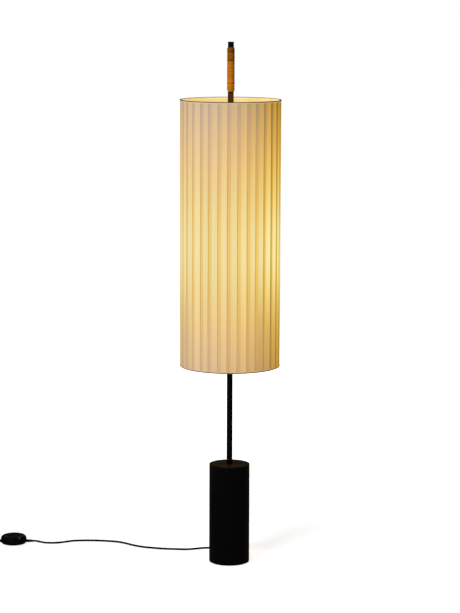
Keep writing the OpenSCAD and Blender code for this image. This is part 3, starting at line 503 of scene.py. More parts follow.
@dataclass
class Effects:
    """The shared effects as node groups, each built the first time it is asked for.

    Attributes:
        globe_x: Distance of each globe from the pole.
        globe_z: Height from which the globes' light spreads.
        level_range: Logarithms of the light at which the level is 0 and 1.
        holder_turn: Turn of the holders' shade about the pole, in radians.
        holder_shares: Shares of the way aside at which the shade starts, and is full.
        shade_heights: Heights at which the holders' shade is full, and gone.
        trees: The groups built so far.
    """

    globe_x: float
    globe_z: float
    level_range: Span = (0.9, 2.0)
    holder_turn: float = math.radians(-12)
    holder_shares: Span = (0.56, 0.74)
    shade_heights: Span = (0.73, 0.95)
    trees: dict[Effect, bpy.types.NodeTree] = field(default_factory=dict)

    def tree(self, effect: Effect) -> bpy.types.NodeTree:
        """Gives the group of an effect, filled by the method of the same name.

        Args:
            effect: The effect.

        Returns:
            The group's tree, built the first time it is asked for.
        """
        if effect in self.trees:
            return self.trees[effect]
        name, *labels = effect.value
        tree = self.trees[effect] = bpy.data.node_groups.new(name, "ShaderNodeTree")
        for label in labels:
            kind = "NodeSocketVector" if label == "Place" else "NodeSocketFloat"
            tree.interface.new_socket(name=label, in_out="INPUT", socket_type=kind)
        nodes = Nodes(tree)
        given = [Field(nodes, socket) for socket in nodes.node("NodeGroupInput").outputs if socket.name]
        results = getattr(self, effect.name.lower())(nodes, *given)
        for label in results:
            tree.interface.new_socket(name=label, in_out="OUTPUT", socket_type="NodeSocketFloat")
        taken = nodes.node("NodeGroupOutput")
        for label, value in results.items():
            nodes.feed(taken.inputs[label], value)
        return tree

    def grain(self, nodes: Nodes, place: Field, size: Field) -> dict[str, Field]:
        """Grain of lacquer and castings: noise, and noise of a fifth of its size, half of each."""
        spread = nodes.result("ShaderNodeVectorMath", {0: place, "Scale": 1.0 / size}, operation="SCALE")
        return {"Value": nodes.noise(spread, 5.0, 2.0) * 0.5 + nodes.noise(spread, 1.0, 2.0) * 0.5}

    def handling(self, nodes: Nodes, place: Field, amount: Field) -> dict[str, Field]:
        """Traces of dust and of hands: broad patches broken up by fine specks."""
        patches, specks = nodes.noise(place, 9.0, 4.0), nodes.noise(place, 260.0, 2.0, 0.7)
        return {"Mask": patches.span(0.42, 0.68) * (specks.span(0.45, 0.75) * 0.7 + 0.3) * amount}

    def fibres(
        self, nodes: Nodes, across: Field, along: Field, width: Field, length: Field
    ) -> dict[str, Field]:
        """Streaks that run along a strip: noise over (across / width, along / length)."""
        place = nodes.result("ShaderNodeCombineXYZ", (across / width, along / length, 0.0))
        return {"Value": nodes.noise(place, 1.0, 3.0, 0.6)}

    def weave(self, nodes: Nodes, across: Field, along: Field, pitch: Field) -> dict[str, Field]:
        """Threads over and under each other: a product of two sines, with both sines' ridges added."""
        x, y = (nodes.math("SINE", way / pitch * math.pi) for way in (across, along))
        return {"Height": x * y * 0.35 + (abs(x) + abs(y)) * 0.3}

    def globe_light(self, nodes: Nodes, place: Field) -> dict[str, Field]:
        """How the lit globes reach a place: their level, their holders' shade, and the side.

        The level, from 0 to 1, is the logarithm of the sum of one over the squared
        distance to each globe. The shade, from 0 to 1, grows below the crossbar, towards
        both of its ends. The side is the place's x over its distance from the axis.

        Args:
            nodes: The group's nodes.
            place: Place on the surface.

        Returns:
            The level, the shade and the side.
        """
        gaps = []
        for x in (-self.globe_x, self.globe_x):
            values = (place, (x, 0.0, self.globe_z))
            gaps.append(nodes.result("ShaderNodeVectorMath", values, 1, operation="DISTANCE"))
        light = nodes.math("LOGARITHM", 1.0 / (gaps[0] * gaps[0]) + 1.0 / (gaps[1] * gaps[1]), 10.0)
        level = nodes.result("ShaderNodeMapRange", (light, *self.level_range, 0.0, 1.0))
        x, y, z = nodes.parts(place)
        out = nodes.math("MAXIMUM", nodes.math("SQRT", x * x + y * y), MM)
        aside = abs((x * math.cos(self.holder_turn) + y * math.sin(self.holder_turn)) / out)
        shade = aside.span(*self.holder_shares) * z.span(*self.shade_heights, 1.0, 0.0)
        return {"Level": level, "Shade": shade, "Side": x / out}


class Surface(Nodes):
    """Nodes of one material, with its shader and the shared effects."""

    SOCKETS = {
        "colour": "Base Color",
        "roughness": "Roughness",
        "metallic": "Metallic",
        "specular": "Specular IOR Level",
        "coat": "Coat Weight",
        "sheen": "Sheen Weight",
        "sheen_roughness": "Sheen Roughness",
        "light": "Emission Color",
        "strength": "Emission Strength",
        "normal": "Normal",
    }

    def __init__(self, material: bpy.types.Material, effects: Effects) -> None:
        """Works on the material's own tree."""
        super().__init__(material.node_tree)
        self.shader = material.node_tree.nodes["Principled BSDF"]
        self.effects = effects

    def set(self, **values: object) -> None:
        """Feeds the shader's sockets, by the short names above."""
        for name, value in values.items():
            self.feed(self.shader.inputs[self.SOCKETS[name]], value)

    def effect(self, effect: Effect, *values: object) -> list[Field]:
        """Outputs of a shared effect that is placed with its own values."""
        made = self.result("ShaderNodeGroup", values, node_tree=self.effects.tree(effect)).socket.node
        return [Field(self, socket) for socket in made.outputs]

    def grain(self, size: float) -> Field:
        """Fine grain of one size."""
        return self.effect(Effect.GRAIN, self.place(), size)[0]

    def dust(self, amount: float) -> Field:
        """Traces of dust and handling."""
        return self.effect(Effect.HANDLING, self.place(), amount)[0]

    def fibres(self, across: object, along: object, width: float, length: float) -> Field:
        """Streaks of one width and length."""
        return self.effect(Effect.FIBRES, across, along, width, length)[0]

    def weave(self, across: Field, along: Field, pitch: float) -> Field:
        """Height of woven threads of one pitch."""
        return self.effect(Effect.WEAVE, across, along, pitch)[0]

    def height(self) -> Field:
        """Height above the floor."""
        return self.parts(self.place())[2]

    def chart(self) -> list[Field]:
        """The piece's own map coordinates: across and along, in metres or shares."""
        made = self.node("ShaderNodeUVMap", uv_map="UVMap")
        return self.parts(Field(self, made.outputs[0]))[:2]

    def tone(self) -> Field:
        """The number that each surface of a skin carries."""
        return Field(self, self.node("ShaderNodeAttribute", attribute_name="tone").outputs["Fac"])

    def bump(self, height: Field, distance: float, share: float = 1.0, under: Field | None = None) -> Field:
        """Leans the surface's normal, or the one under it, by a share of a height's slope."""
        values = {"Strength": share, "Distance": distance, "Height": height}
        return self.result("ShaderNodeBump", values if under is None else values | {"Normal": under})


def seen(nodes: Nodes) -> Field:
    """One for rays that show the backdrop: from the camera, a mirror or glass.

    Args:
        nodes: Nodes of the backdrop's material or world.

    Returns:
        One or zero.
    """
    path = nodes.node("ShaderNodeLightPath")
    rays = [Field(nodes, path.outputs[f"Is {kind} Ray"]) for kind in ("Camera", "Glossy", "Transmission")]
    return nodes.math("MAXIMUM", nodes.math("MAXIMUM", rays[0], rays[1]), rays[2])


# --- Finishes -----------------------------------------------------------------------


# How far a finish's marks swing its roughness, from the least to the most.
GLOSS_SWING = 0.2
# Levels of the globes' light at which the colours of a Glow stand.
GLOW_PLACES = (0.0, 0.22, 0.45, 0.7, 1.0)
# Light through each layer, from far away from the globes to next to them.
ONE_LAYER: Glow = (
    (0.446, 0.243, 0.008), (0.643, 0.354, 0.055), (0.752, 0.482, 0.102),
    (0.796, 0.603, 0.197), (0.873, 0.718, 0.342),
)
TWO_LAYERS: Glow = (
    (0.282, 0.153, 0.010), (0.494, 0.266, 0.022), (0.645, 0.352, 0.024),
    (0.748, 0.453, 0.050), (0.840, 0.590, 0.130),
)
BARE_FILM: Glow = (
    (0.92, 0.66, 0.20), (0.97, 0.75, 0.27), (1.0, 0.82, 0.36), (1.0, 0.88, 0.48), (1.0, 0.94, 0.66),
)


@dataclass(frozen=True)
class Finish:
    """A finish: constants on the shader's own sockets, and details from nodes.

    Attributes:
        colour: Base colour, linear.
        roughness: Roughness.
        metallic: Metal share.
        specular: Strength of the plain reflection.
        coat: Weight of a clear coat.
    """

    colour: Colour
    roughness: float
    metallic: float = 0.0
    specular: float = 0.5
    coat: float = 0.0

    def material(self, name: str, effects: Effects) -> bpy.types.Material:
        """Makes the material and lets the finish add its details.

        Args:
            name: Name of the material.
            effects: The shared effects.

        Returns:
            The new material.
        """
        made = bpy.data.materials.new(name)
        made.use_nodes = True
        made.diffuse_color = (*self.colour, 1.0)
        surface = Surface(made, effects)
        constants = ("colour", "roughness", "metallic", "specular", "coat")
        surface.set(**{label: getattr(self, label) for label in constants})
        self.detail(surface)
        return made

    def detail(self, surface: Surface) -> None:
        """Adds what changes over the surface."""


@dataclass(frozen=True)
class Grained(Finish):
    """Lacquer, moulded plastic, rubber or a casting: fine grain and traces of use.

    Attributes:
        grain_size: Size of the grain.
        grain_depth: Depth of the grain.
        dust: How much dust and handling shows.
        dust_colour: Colour of the dust.
    """

    grain_size: float = 1.2 * MM
    grain_depth: float = 0.02 * MM
    dust: float = 0.25
    dust_colour: Colour = (0.12, 0.115, 0.105)

    def detail(self, surface: Surface) -> None:
        """Grain leans the normal and varies the gloss, dust dulls and lightens it."""
        grain, dust = surface.grain(self.grain_size), surface.dust(self.dust)
        surface.set(
            colour=surface.mix(dust * 0.2, self.colour, self.dust_colour),
            roughness=surface.math("ADD", dust * 0.35, grain * 0.1 + (self.roughness - 0.05), clamp=True),
            normal=surface.bump(grain, self.grain_depth),
        )


@dataclass(frozen=True)
class Coated(Grained):
    """Grained black that reflects only in a thin clear coat."""

    specular: float = 0.0


@dataclass(frozen=True)
class PaintedGlowLacquer(Coated):
    """Lacquer or steel near the globes, with the globes' light on it painted as a glow, up to a height.

    Attributes:
        warmth: Painted light of the globes that the surface gives back.
        fade: Heights at which the painted glow starts to fade, and is gone.
    """

    warmth: Colour = (0.064, 0.0205, 0.0005)
    fade: Span = (1.488, 1.4965)

    def detail(self, surface: Surface) -> None:
        """Adds the painted glow over the grain."""
        super().detail(surface)
        # Painted light: the globes' glow on the surface, fading out above a height.
        warm = surface.scaled(self.warmth, surface.height().span(*self.fade, 1.0, 0.0))
        surface.set(light=warm, strength=1.0)


@dataclass(frozen=True)
class Marked(Finish):
    """Sheath of a cord: fine marks along its map vary the gloss, under a little dust.

    Attributes:
        mark_size: Width of a mark, in turns round the cord or in metres, and its length.
        mark_depth: Depth of the marks.
        dust: How much dust or tarnish shows.
        dust_colour: Its colour.
    """

    mark_size: Span = (0.03, 60 * MM)
    mark_depth: float = 0.05 * MM
    dust: float = 0.0525
    dust_colour: Colour = (0.1, 0.1, 0.1)

    def chart(self, surface: Surface) -> Sequence[Field]:
        """Ways across and along the marks: here the piece's own map."""
        return surface.chart()

    def detail(self, surface: Surface) -> None:
        """Marks vary the gloss and lean the normal, dust lies over them."""
        marks = surface.fibres(*self.chart(surface), *self.mark_size)
        surface.set(
            colour=surface.mix(surface.dust(self.dust), self.colour, self.dust_colour),
            roughness=marks * GLOSS_SWING + (self.roughness - GLOSS_SWING / 2),
            normal=surface.bump(marks, self.mark_depth),
        )


@dataclass(frozen=True)
class Drawn(Marked):
    """Turned or drawn metal: fine rings across its axis, with a little tarnish."""

    mark_size: Span = (0.25 * MM, 20 * MM)
    mark_depth: float = 0.02 * MM
    dust: float = 0.6
    dust_colour: Colour = (0.3, 0.27, 0.22)

    def chart(self, surface: Surface) -> Sequence[Field]:
        """Up the axis, and round it by x + y."""
        x, y, z = surface.parts(surface.place())
        return z, x + y


@dataclass(frozen=True)
class Threaded(Drawn):
    """Rolled screw thread of a bulb's cap.

    Attributes:
        thread_pitch: Rise of the thread in one turn.
        thread_depth: Depth of the thread.
        axis_x: Distance of the cap's axis from the pole.
    """

    thread_pitch: float = 3.62 * MM
    thread_depth: float = 0.7 * MM
    axis_x: float = 0.058

    def detail(self, surface: Surface) -> None:
        """Adds the thread's ridges over the turning marks: sin(height / pitch + turn).

        Args:
            surface: The material's nodes.
        """
        super().detail(surface)
        x, y, z = surface.parts(surface.place())
        turn = surface.math("ARCTAN2", y, abs(x) - self.axis_x)
        wave = surface.math("SINE", z * (FULL_TURN / self.thread_pitch) + turn)
        under = Field(surface, surface.shader.inputs["Normal"].links[0].from_socket)
        surface.set(normal=surface.bump(wave, self.thread_depth, under=under))


@dataclass(frozen=True)
class Felted(Finish):
    """Pressed felt: short fibres that lie every way.

    Attributes:
        fibre: Size of the fibres.
        nap: How far they stand up.
    """

    fibre: float = 1.6 * MM
    nap: float = 0.35 * MM

    def detail(self, surface: Surface) -> None:
        """Fibres vary the colour and stand up from the surface."""
        grain = surface.grain(self.fibre)
        colour = surface.scaled(self.colour, grain * 0.9 + 0.55)
        surface.set(colour=colour, normal=surface.bump(grain, self.nap), sheen=0.3, sheen_roughness=0.6)


@dataclass(frozen=True)
class LitRibbon(Finish):
    """Cotton ribbon lit from behind: warm in one layer, duller where two lie together.

    Attributes:
        single: Light through one layer.
        double: Light through two layers.
        overlap: Width of the double layer, from the ribbon's edge.
        weave_pitch: Distance between two threads.
        fine: Width and length of the fine streaks.
        broad: Width and length of the broad streaks.
        streak: How strongly the uneven threads show.
        washed: How far the strongest light drowns the cloth's own colour.
        shaded: How far the holders shade a single layer.
        lean: How much more light leaves at the right than in the middle.
        right: Sides at which the right edges start to stand open, and are open, with a painted shadow under
            them.
        selvedge: What the ribbon's close-woven edge lets through of each colour, darker also as painted shade
            along the edge.
        open_edge: The same for the edges at the right, which stand open: a painted shadow in the gap under
            them.
        edge_widths: Width of the edge's dark line, from its close weave and painted shade, in general and at
            the right.
    """

    single: Glow = ONE_LAYER
    double: Glow = TWO_LAYERS
    overlap: float = 12.5 * MM
    weave_pitch: float = 0.7 * MM
    fine: Span = (1.1 * MM, 0.35)
    broad: Span = (6 * MM, 1.2)
    streak: float = 0.2
    washed: float = 0.7
    shaded: float = 0.2
    lean: float = 0.1
    right: Span = (0.52, 0.74)
    selvedge: Colour = (0.80, 0.75, 0.10)
    open_edge: Colour = (0.50, 0.50, 0.0)
    edge_widths: Span = (5.5 * MM, 11 * MM)

    def detail(self, surface: Surface) -> None:
        """Mixes the two glows by the distance from the ribbon's edge, with streaks.

        Args:
            surface: The material's nodes.
        """
        across, along = surface.chart()
        tone = surface.tone()
        level, shade, side = surface.effect(Effect.GLOBE_LIGHT, surface.place())
        single = surface.scaled(surface.ramp(level, GLOW_PLACES, self.single), 1.0 - shade * self.shaded)
        double = surface.ramp(level, GLOW_PLACES, self.double)
        lit = surface.mix(across.span(0.88 * self.overlap, 1.1 * self.overlap, 1.0, 0.0), single, double)
        right = side.span(*self.right)
        narrow, wide = self.edge_widths
        # The ribbon's left edge darkens its light: its close weave, and at the right a painted shadow in the
        # gap under the open edge.
        edge = (across / (right * (wide - narrow) + narrow)).span(0.1, 1.0, 1.0, 0.0)
        lit = surface.mix(edge, lit, surface.mix(right, self.selvedge, self.open_edge), "MULTIPLY")
        shifted = across + tone
        fine = surface.fibres(shifted, along, *self.fine)
        streaks = (fine + surface.fibres(shifted, along, *self.broad)) * (0.5 * self.streak)
        cloth = (streaks + (1.0 - self.streak / 2)) * (tone * 0.05 + 1.0)
        # Painted shade in the crease along the edge darkens the cloth's own colour, more where the light is
        # strong; own is that darkened colour.
        crease_shade = edge * level.span(0.3, 0.8, 0.1, 0.6)
        own = cloth * (1.0 - level * self.washed) * (1.0 - crease_shade)
        woven = surface.bump(surface.weave(across, along, self.weave_pitch), 0.12 * MM, 0.7)
        surface.set(
            light=surface.scaled(lit, cloth * (side * self.lean + 1.0)),
            strength=1.0,
            colour=surface.scaled(self.colour, own),
            normal=surface.bump(fine, 0.25 * MM, 0.6, woven),
        )


@dataclass(frozen=True)
class LitFilm(Finish):
    """Translucent liner, seen from inside: the globes' light, mottled a little.

    Attributes:
        glow: Light through the film.
        strength: Strength of the light.
        mottle: Size of the uneven patches.
        seam: Shares of a turn at which the glued seam starts, and is full.
    """

    glow: Glow = BARE_FILM
    strength: float = 0.85
    mottle: float = 9 * MM
    seam: Span = (0.9985, 1.0005)

    def detail(self, surface: Surface) -> None:
        """Glow by the globes' light, mottled a little, and duller at the glued seam.

        Args:
            surface: The material's nodes. The map's second value is the share of a turn.
        """
        level = surface.effect(Effect.GLOBE_LIGHT, surface.place())[0]
        grain = surface.grain(self.mottle)
        shade = (grain * 0.08 + 0.96) * surface.chart()[1].span(*self.seam, 1.0, 0.86)
        surface.set(
            light=surface.scaled(surface.ramp(level, GLOW_PLACES, self.glow), shade),
            strength=self.strength,
            colour=surface.scaled(self.colour, shade),
            normal=surface.bump(grain, 0.05 * MM),
        )


@dataclass(frozen=True)
class Tape(Finish):
    """Binding tape folded over the shade's edge: opaque at the fold, lit at both lips.

    Attributes:
        outer_lip: Light through the outer lip.
        inner_lip: Light that falls on the inner lip.
        fold: Colour of the fold, where the tape lies double over the ring: darker, as painted shade.
        low_fold: How much further the fold's painted shade reaches on the bottom tape.
        outer_fade: Where the outer lip's light is full, and gone, across the tape.
        inner_fade: Where the inner lip's light starts, and is full.
        weave_pitch: Distance between two threads.
    """

    outer_lip: Colour = (0.62, 0.36, 0.09)
    inner_lip: Colour = (0.56, 0.27, 0.035)
    fold: Colour = (0.085, 0.07, 0.06)
    low_fold: float = 1.0 * MM
    outer_fade: Span = (1.6 * MM, 3.0 * MM)
    inner_fade: Span = (8.6 * MM, 9.4 * MM)
    weave_pitch: float = 0.6 * MM

    def detail(self, surface: Surface) -> None:
        """The lips give light, and the fold between them takes a darker colour, painted as shade.

        Args:
            surface: The material's nodes. The map's second value runs across the tape.
        """
        around, inward = surface.chart()
        folded = (surface.tone() * self.low_fold + inward).span(*self.outer_fade)
        inside = inward.span(*self.inner_fade)
        outer = surface.scaled(self.outer_lip, 1.0 - folded)
        inner = surface.scaled(self.inner_lip, inside)
        threads = surface.weave(around, inward, self.weave_pitch)
        # Painted shade: the fold between the lips is darker.
        colour = surface.mix(folded - inside, self.colour, self.fold)
        surface.set(
            light=surface.mix(1.0, outer, inner, "ADD"),
            strength=1.0,
            colour=surface.scaled(colour, threads * 0.5 + 0.8),
            normal=surface.bump(threads, 0.15 * MM),
        )


@dataclass(frozen=True)
class SplitCane(Finish):
    """Split cane under thin varnish: long fibres, darker towards the top of the handle.

    Attributes:
        aged: Colour of the darker turns above the lower seam.
        seam: Colour in the two seams.
        seam_heights: Heights of the seams. The turns above the lower one are darker.
        seam_fade: Distances at which a seam's colour starts to fade, and is gone.
        soft: Half the height in which the cane's colour changes, at each seam.
    """

    aged: Colour = (0.25, 0.078, 0.0025)
    seam: Colour = (0.09, 0.024, 0.003)
    seam_heights: Span = (1.592, 1.620)
    seam_fade: Span = (0.9 * MM, 2.4 * MM)
    soft: Span = (0.8 * MM, 1.0 * MM)

    def detail(self, surface: Surface) -> None:
        """Fibres and patches follow the cane's map; the darker upper turns, seams and bands the height.

        Args:
            surface: The material's nodes.
        """
        across, along = surface.chart()
        height = surface.height()
        fibres = surface.fibres(across, along, 0.35 * MM, 30 * MM)
        patches = surface.fibres(across, along, 6 * MM, 50 * MM)
        bands = surface.fibres(height, 0.0, 7 * MM, 1.0)
        ends = [(seam - soft, seam + soft) for seam, soft in zip(self.seam_heights, self.soft)]
        colour = surface.mix(height.span(*ends[0]), self.colour, self.aged)
        for seam in self.seam_heights:
            colour = surface.mix(abs(height - seam).span(*self.seam_fade, 0.95, 0.0), colour, self.seam)
        colour = surface.scaled(colour, height.span(*ends[1], 1.0, 0.72) * (bands * 1.8 + 0.1))
        surface.set(
            colour=surface.scaled(colour, patches * 0.9 + (fibres * 0.45 + 0.33)),
            roughness=fibres * 0.25 + (self.roughness - 0.12),
            normal=surface.bump(fibres, 0.18 * MM),
        )


@dataclass(frozen=True)
class Lens(Finish):
    """Glass or a clear lens that gives light of its own, a little cloudy.

    Attributes:
        light: Colour of the light.
        strength: Strength of the light.
        mottle: How uneven the light is.
        cloud: Size of the uneven patches.
    """

    light: Colour = (1.0, 0.86, 0.6)
    strength: float = 1.0
    mottle: float = 0.1
    cloud: float = 4 * MM

    def detail(self, surface: Surface) -> None:
        """Slightly cloudy light under a smooth surface."""
        grain = surface.grain(self.cloud)
        light = surface.scaled(self.light, grain * self.mottle + (1.0 - self.mottle / 2))
        surface.set(light=light, strength=self.strength, normal=surface.bump(grain, 0.02 * MM))


@dataclass(frozen=True)
class HookStrap(Finish):
    """Woven strap with a napped face.

    Attributes:
        weave_pitch: Distance between two threads.
        nap: Size of the fibres on its face.
    """

    weave_pitch: float = 0.9 * MM
    nap: float = 0.8 * MM

    def detail(self, surface: Surface) -> None:
        """Weave on the strap's own map, with fibres over it."""
        threads = surface.weave(*surface.chart(), self.weave_pitch)
        colour = surface.scaled(self.colour, threads * 0.8 + surface.grain(self.nap) * 0.8)
        surface.set(colour=colour, normal=surface.bump(threads, 0.2 * MM), sheen=0.25)


@dataclass(frozen=True)
class PaleFloor(Finish):
    """Ground that looks white, and a little less so next to the lamp.

    Attributes:
        glow: Strength of its light under the lamp, and far away.
        fade: Distances from the pole at which the glow starts to rise, and is full.
    """

    glow: Span = (0.72, 1.0)
    fade: Span = (0.7, 1.8)

    def detail(self, surface: Surface) -> None:
        """White light for the rays that show the backdrop."""
        away = surface.result("ShaderNodeVectorMath", (surface.place(),), 1, operation="LENGTH")
        surface.set(light=(1.0, 1.0, 1.0), strength=seen(surface) * away.span(*self.fade, *self.glow))


FINISHES: dict[Slot, Finish] = {
    Slot.BLACK_LACQUER: Coated(
        (0.0011, 0.001, 0.001), 0.42, coat=0.022, dust=0.15, dust_colour=(0.012, 0.011, 0.01)
    ),
    # Dark warm brown: the globes' warm light on the top disc is painted into its colour, with the beams' real
    # light added.
    Slot.DISC_LACQUER: Coated(
        (0.010, 0.007, 0.003), 0.55, coat=0.008, dust=0.2, dust_colour=(0.02, 0.016, 0.01)
    ),
    Slot.BALLAST_IRON: Grained((0.09, 0.09, 0.095), 0.75, 0.4, grain_size=3 * MM, grain_depth=0.4 * MM),
    Slot.BARE_STEEL: Drawn((0.56, 0.55, 0.52), 0.35, 1.0),
    Slot.PIN_METAL: Drawn((0.78, 0.77, 0.74), 0.2, 1.0),
    Slot.FELT: Felted((0.06, 0.06, 0.06), 0.95, specular=0.1),
    Slot.SOFT_BLACK: Coated((0.0025, 0.0025, 0.0028), 0.55, coat=0.02, grain_size=0.6 * MM, dust=0.3),
    Slot.CORD_SHEATH: Marked((0.0015, 0.0015, 0.0017), 0.4, specular=0.0, coat=0.015),
    Slot.LEAD_SLEEVE: Marked((0.45, 0.3, 0.08), 0.3, coat=0.4),
    Slot.HOLDER_PLASTIC: Grained((0.02, 0.02, 0.02), 0.5, grain_size=0.7 * MM),
    Slot.OPAL_GLASS: Lens((1.0, 0.96, 0.86), 0.15, light=(1.0, 0.9, 0.66), strength=1.5),
    Slot.CAP_METAL: Threaded((0.7, 0.7, 0.7), 0.3, 1.0),
    Slot.LINER_FILM: LitFilm((0.10, 0.09, 0.07), 0.45, specular=0.05),
    Slot.RIBBON_FABRIC: LitRibbon((0.205, 0.212, 0.232), 0.9, specular=0.0),
    Slot.BINDING_TAPE: Tape((0.22, 0.205, 0.25), 0.9, specular=0.0),
    Slot.CANE: SplitCane((0.415, 0.139, 0.0065), 0.5, specular=0.03),
    Slot.END_CAP_BLACK: Coated((0.004, 0.005, 0.005), 0.45, coat=0.03, dust=0.1),
    Slot.DIMMER_PLASTIC: Coated(
        (0.002, 0.002, 0.0023), 0.4, coat=0.018, grain_size=0.5 * MM, dust_colour=(0.02, 0.02, 0.02)
    ),
    Slot.SLIDER_PLASTIC: Coated((0.008, 0.009, 0.011), 0.5, coat=0.06, grain_size=0.5 * MM),
    Slot.PILOT_RED: Lens((0.09, 0.005, 0.003), 0.2, coat=0.1, light=(0.12, 0.006, 0.003), strength=0.5),
    Slot.BOARD_GREEN: Grained((0.03, 0.17, 0.08), 0.35, grain_size=0.5 * MM),
    Slot.PART_GREY: Grained((0.2, 0.2, 0.21), 0.5, grain_size=0.6 * MM),
    Slot.TIE_FABRIC: HookStrap((0.035, 0.035, 0.037), 0.9, specular=0.05),
    Slot.PLUG_PLASTIC: Coated((0.003, 0.003, 0.0035), 0.45, coat=0.04, grain_size=0.5 * MM, dust=0.2),
}

# Frames: steel with the globes' light on it painted as a glow that never fades.
GLOW_PAINTED_STEEL = PaintedGlowLacquer((0.3, 0.28, 0.24), 0.35, specular=0.2, warmth=(0.68, 0.48, 0.16), fade=(2.0, 2.1))
# Own finishes of the pole, the neck and the frames: each paints the globes' light on it as a glow.
OWN_FINISHES: dict[str, Finish] = {
    "upper_pole": PaintedGlowLacquer((0.002, 0.0018, 0.0017), 0.4, coat=0.4, warmth=(0.03, 0.012, 0.002)),
    "handle_tube": PaintedGlowLacquer((0.002, 0.0018, 0.0017), 0.4, coat=0.03),
    "top_frame": GLOW_PAINTED_STEEL,
    "bottom_frame": GLOW_PAINTED_STEEL,
}


# --- Sub-assemblies -----------------------------------------------------------------


@dataclass
class Studio:
    """Camera at the photograph's place, a pale floor and soft light.

    Attributes:
        effects: The shared effects, which know where the globes are.
        camera_at: Place of the camera.
        pitch_down: How far the camera looks down, in degrees.
        roll: How far it is rolled, in degrees.
        lens: Focal length in millimetres, for a 36 mm sensor on the long side.
        floor_size: Side of the floor.
        floor_drop: How far the floor lies under the lamp.
        room_light: Strength of the light from all sides.
        middle: Point that the soft lights face.
        warm: Colour of the globes' light outside the shade.
    """

    effects: Effects
    camera_at: Point = (0.0, -7.033, 1.863)
    pitch_down: float = 8.415
    roll: float = 0.202
    lens: float = 132.8
    floor_size: float = 60.0
    floor_drop: float = 0.2 * MM
    room_light: float = 0.03
    middle: Point = (0.0, 0.0, 1.0)
    warm: Colour = (1.0, 0.62, 0.3)

    def place(self, name: str, data: bpy.types.ID, **settings: object) -> Piece:
        """Writes settings on a camera or a light, and links an object of it.

        Args:
            name: Name of the object.
            data: The camera or light.
            **settings: Its settings by name.

        Returns:
            The new object.
        """
        for label, value in settings.items():
            setattr(data, label, value)
        made = bpy.data.objects.new(name, data)
        bpy.context.scene.collection.objects.link(made)
        return made

    def build_camera(self) -> None:
        """Makes the camera: it looks along +Y, pitched down and rolled a little."""
        data = bpy.data.cameras.new("camera")
        camera = self.place("camera", data, lens=self.lens, sensor_width=36.0, clip_end=200.0)
        tilt = Matrix.Rotation(math.radians(90 - self.pitch_down), 4, "X")
        roll = Matrix.Rotation(math.radians(self.roll), 4, "Z")
        camera.matrix_world = Matrix.Translation(self.camera_at) @ tilt @ roll
        bpy.context.scene.camera = camera

    def build_floor(self) -> None:
        """Makes a pale floor that shows white where it isn't shaded."""
        side = np.array([-0.5, 0.5]) * self.floor_size
        x, y = np.meshgrid(side, side, indexing="ij")
        corners = np.stack([x, y, np.full_like(x, -self.floor_drop)], axis=-1)
        floor = Skin().add(corners, wrap_cols=False).to_object("floor")
        finish = PaleFloor((0.6, 0.6, 0.6), 0.9, specular=0.0)
        floor.data.materials.append(finish.material("pale_floor", self.effects))

    def build_world(self) -> None:
        """Makes a white backdrop that lights the lamp a little from all sides."""
        world = bpy.context.scene.world = bpy.data.worlds.new("studio")
        world.use_nodes = True
        nodes = Nodes(world.node_tree)
        background = world.node_tree.nodes["Background"]
        nodes.feed(background.inputs["Color"], (1.0, 1.0, 1.0))
        nodes.feed(background.inputs["Strength"], nodes.math("MAXIMUM", seen(nodes), self.room_light))

    def build_lights(self) -> None:
        """Adds two square soft lights, and the globes' light through both openings."""
        soft = (
            ("key", (-2.3, -3.98, 2.4), 1.8, 243.0, (0.98, 0.99, 1.0)),
            ("back_fill", (-0.5, 4.5, 2.6), 2.4, 140.0, (1.0, 0.98, 0.96)),
        )
        for name, at, size, power, colour in soft:
            data = bpy.data.lights.new(name, "AREA")
            light = self.place(name, data, size=size, energy=power, color=colour)
            light.location = at
            light.rotation_euler = (Vector(self.middle) - Vector(at)).to_track_quat("-Z", "Y").to_euler()
        beams = (("down", -0.02, 0.83, 0.0, 28, 5.0), ("up", -0.03, 1.08, math.pi, 20, 1.2))
        for side in (-1, 1):
            for way, y, z, tilt, spread, power in beams:
                data = bpy.data.lights.new(f"{way}_{side}", "SPOT")
                beam = {"spot_size": math.radians(spread), "spot_blend": 0.3, "shadow_soft_size": 0.03}
                light = self.place(data.name, data, energy=power, color=self.warm, **beam)
                light.location = (side * self.effects.globe_x, y, z)
                light.rotation_euler = (tilt, 0.0, 0.0)

    def build(self) -> None:
        """Sets up the whole studio."""
        self.build_camera()
        self.build_floor()
        self.build_world()
        self.build_lights()
        bpy.context.scene.view_settings.view_transform = "Standard"
        LOG.info("set up the studio")


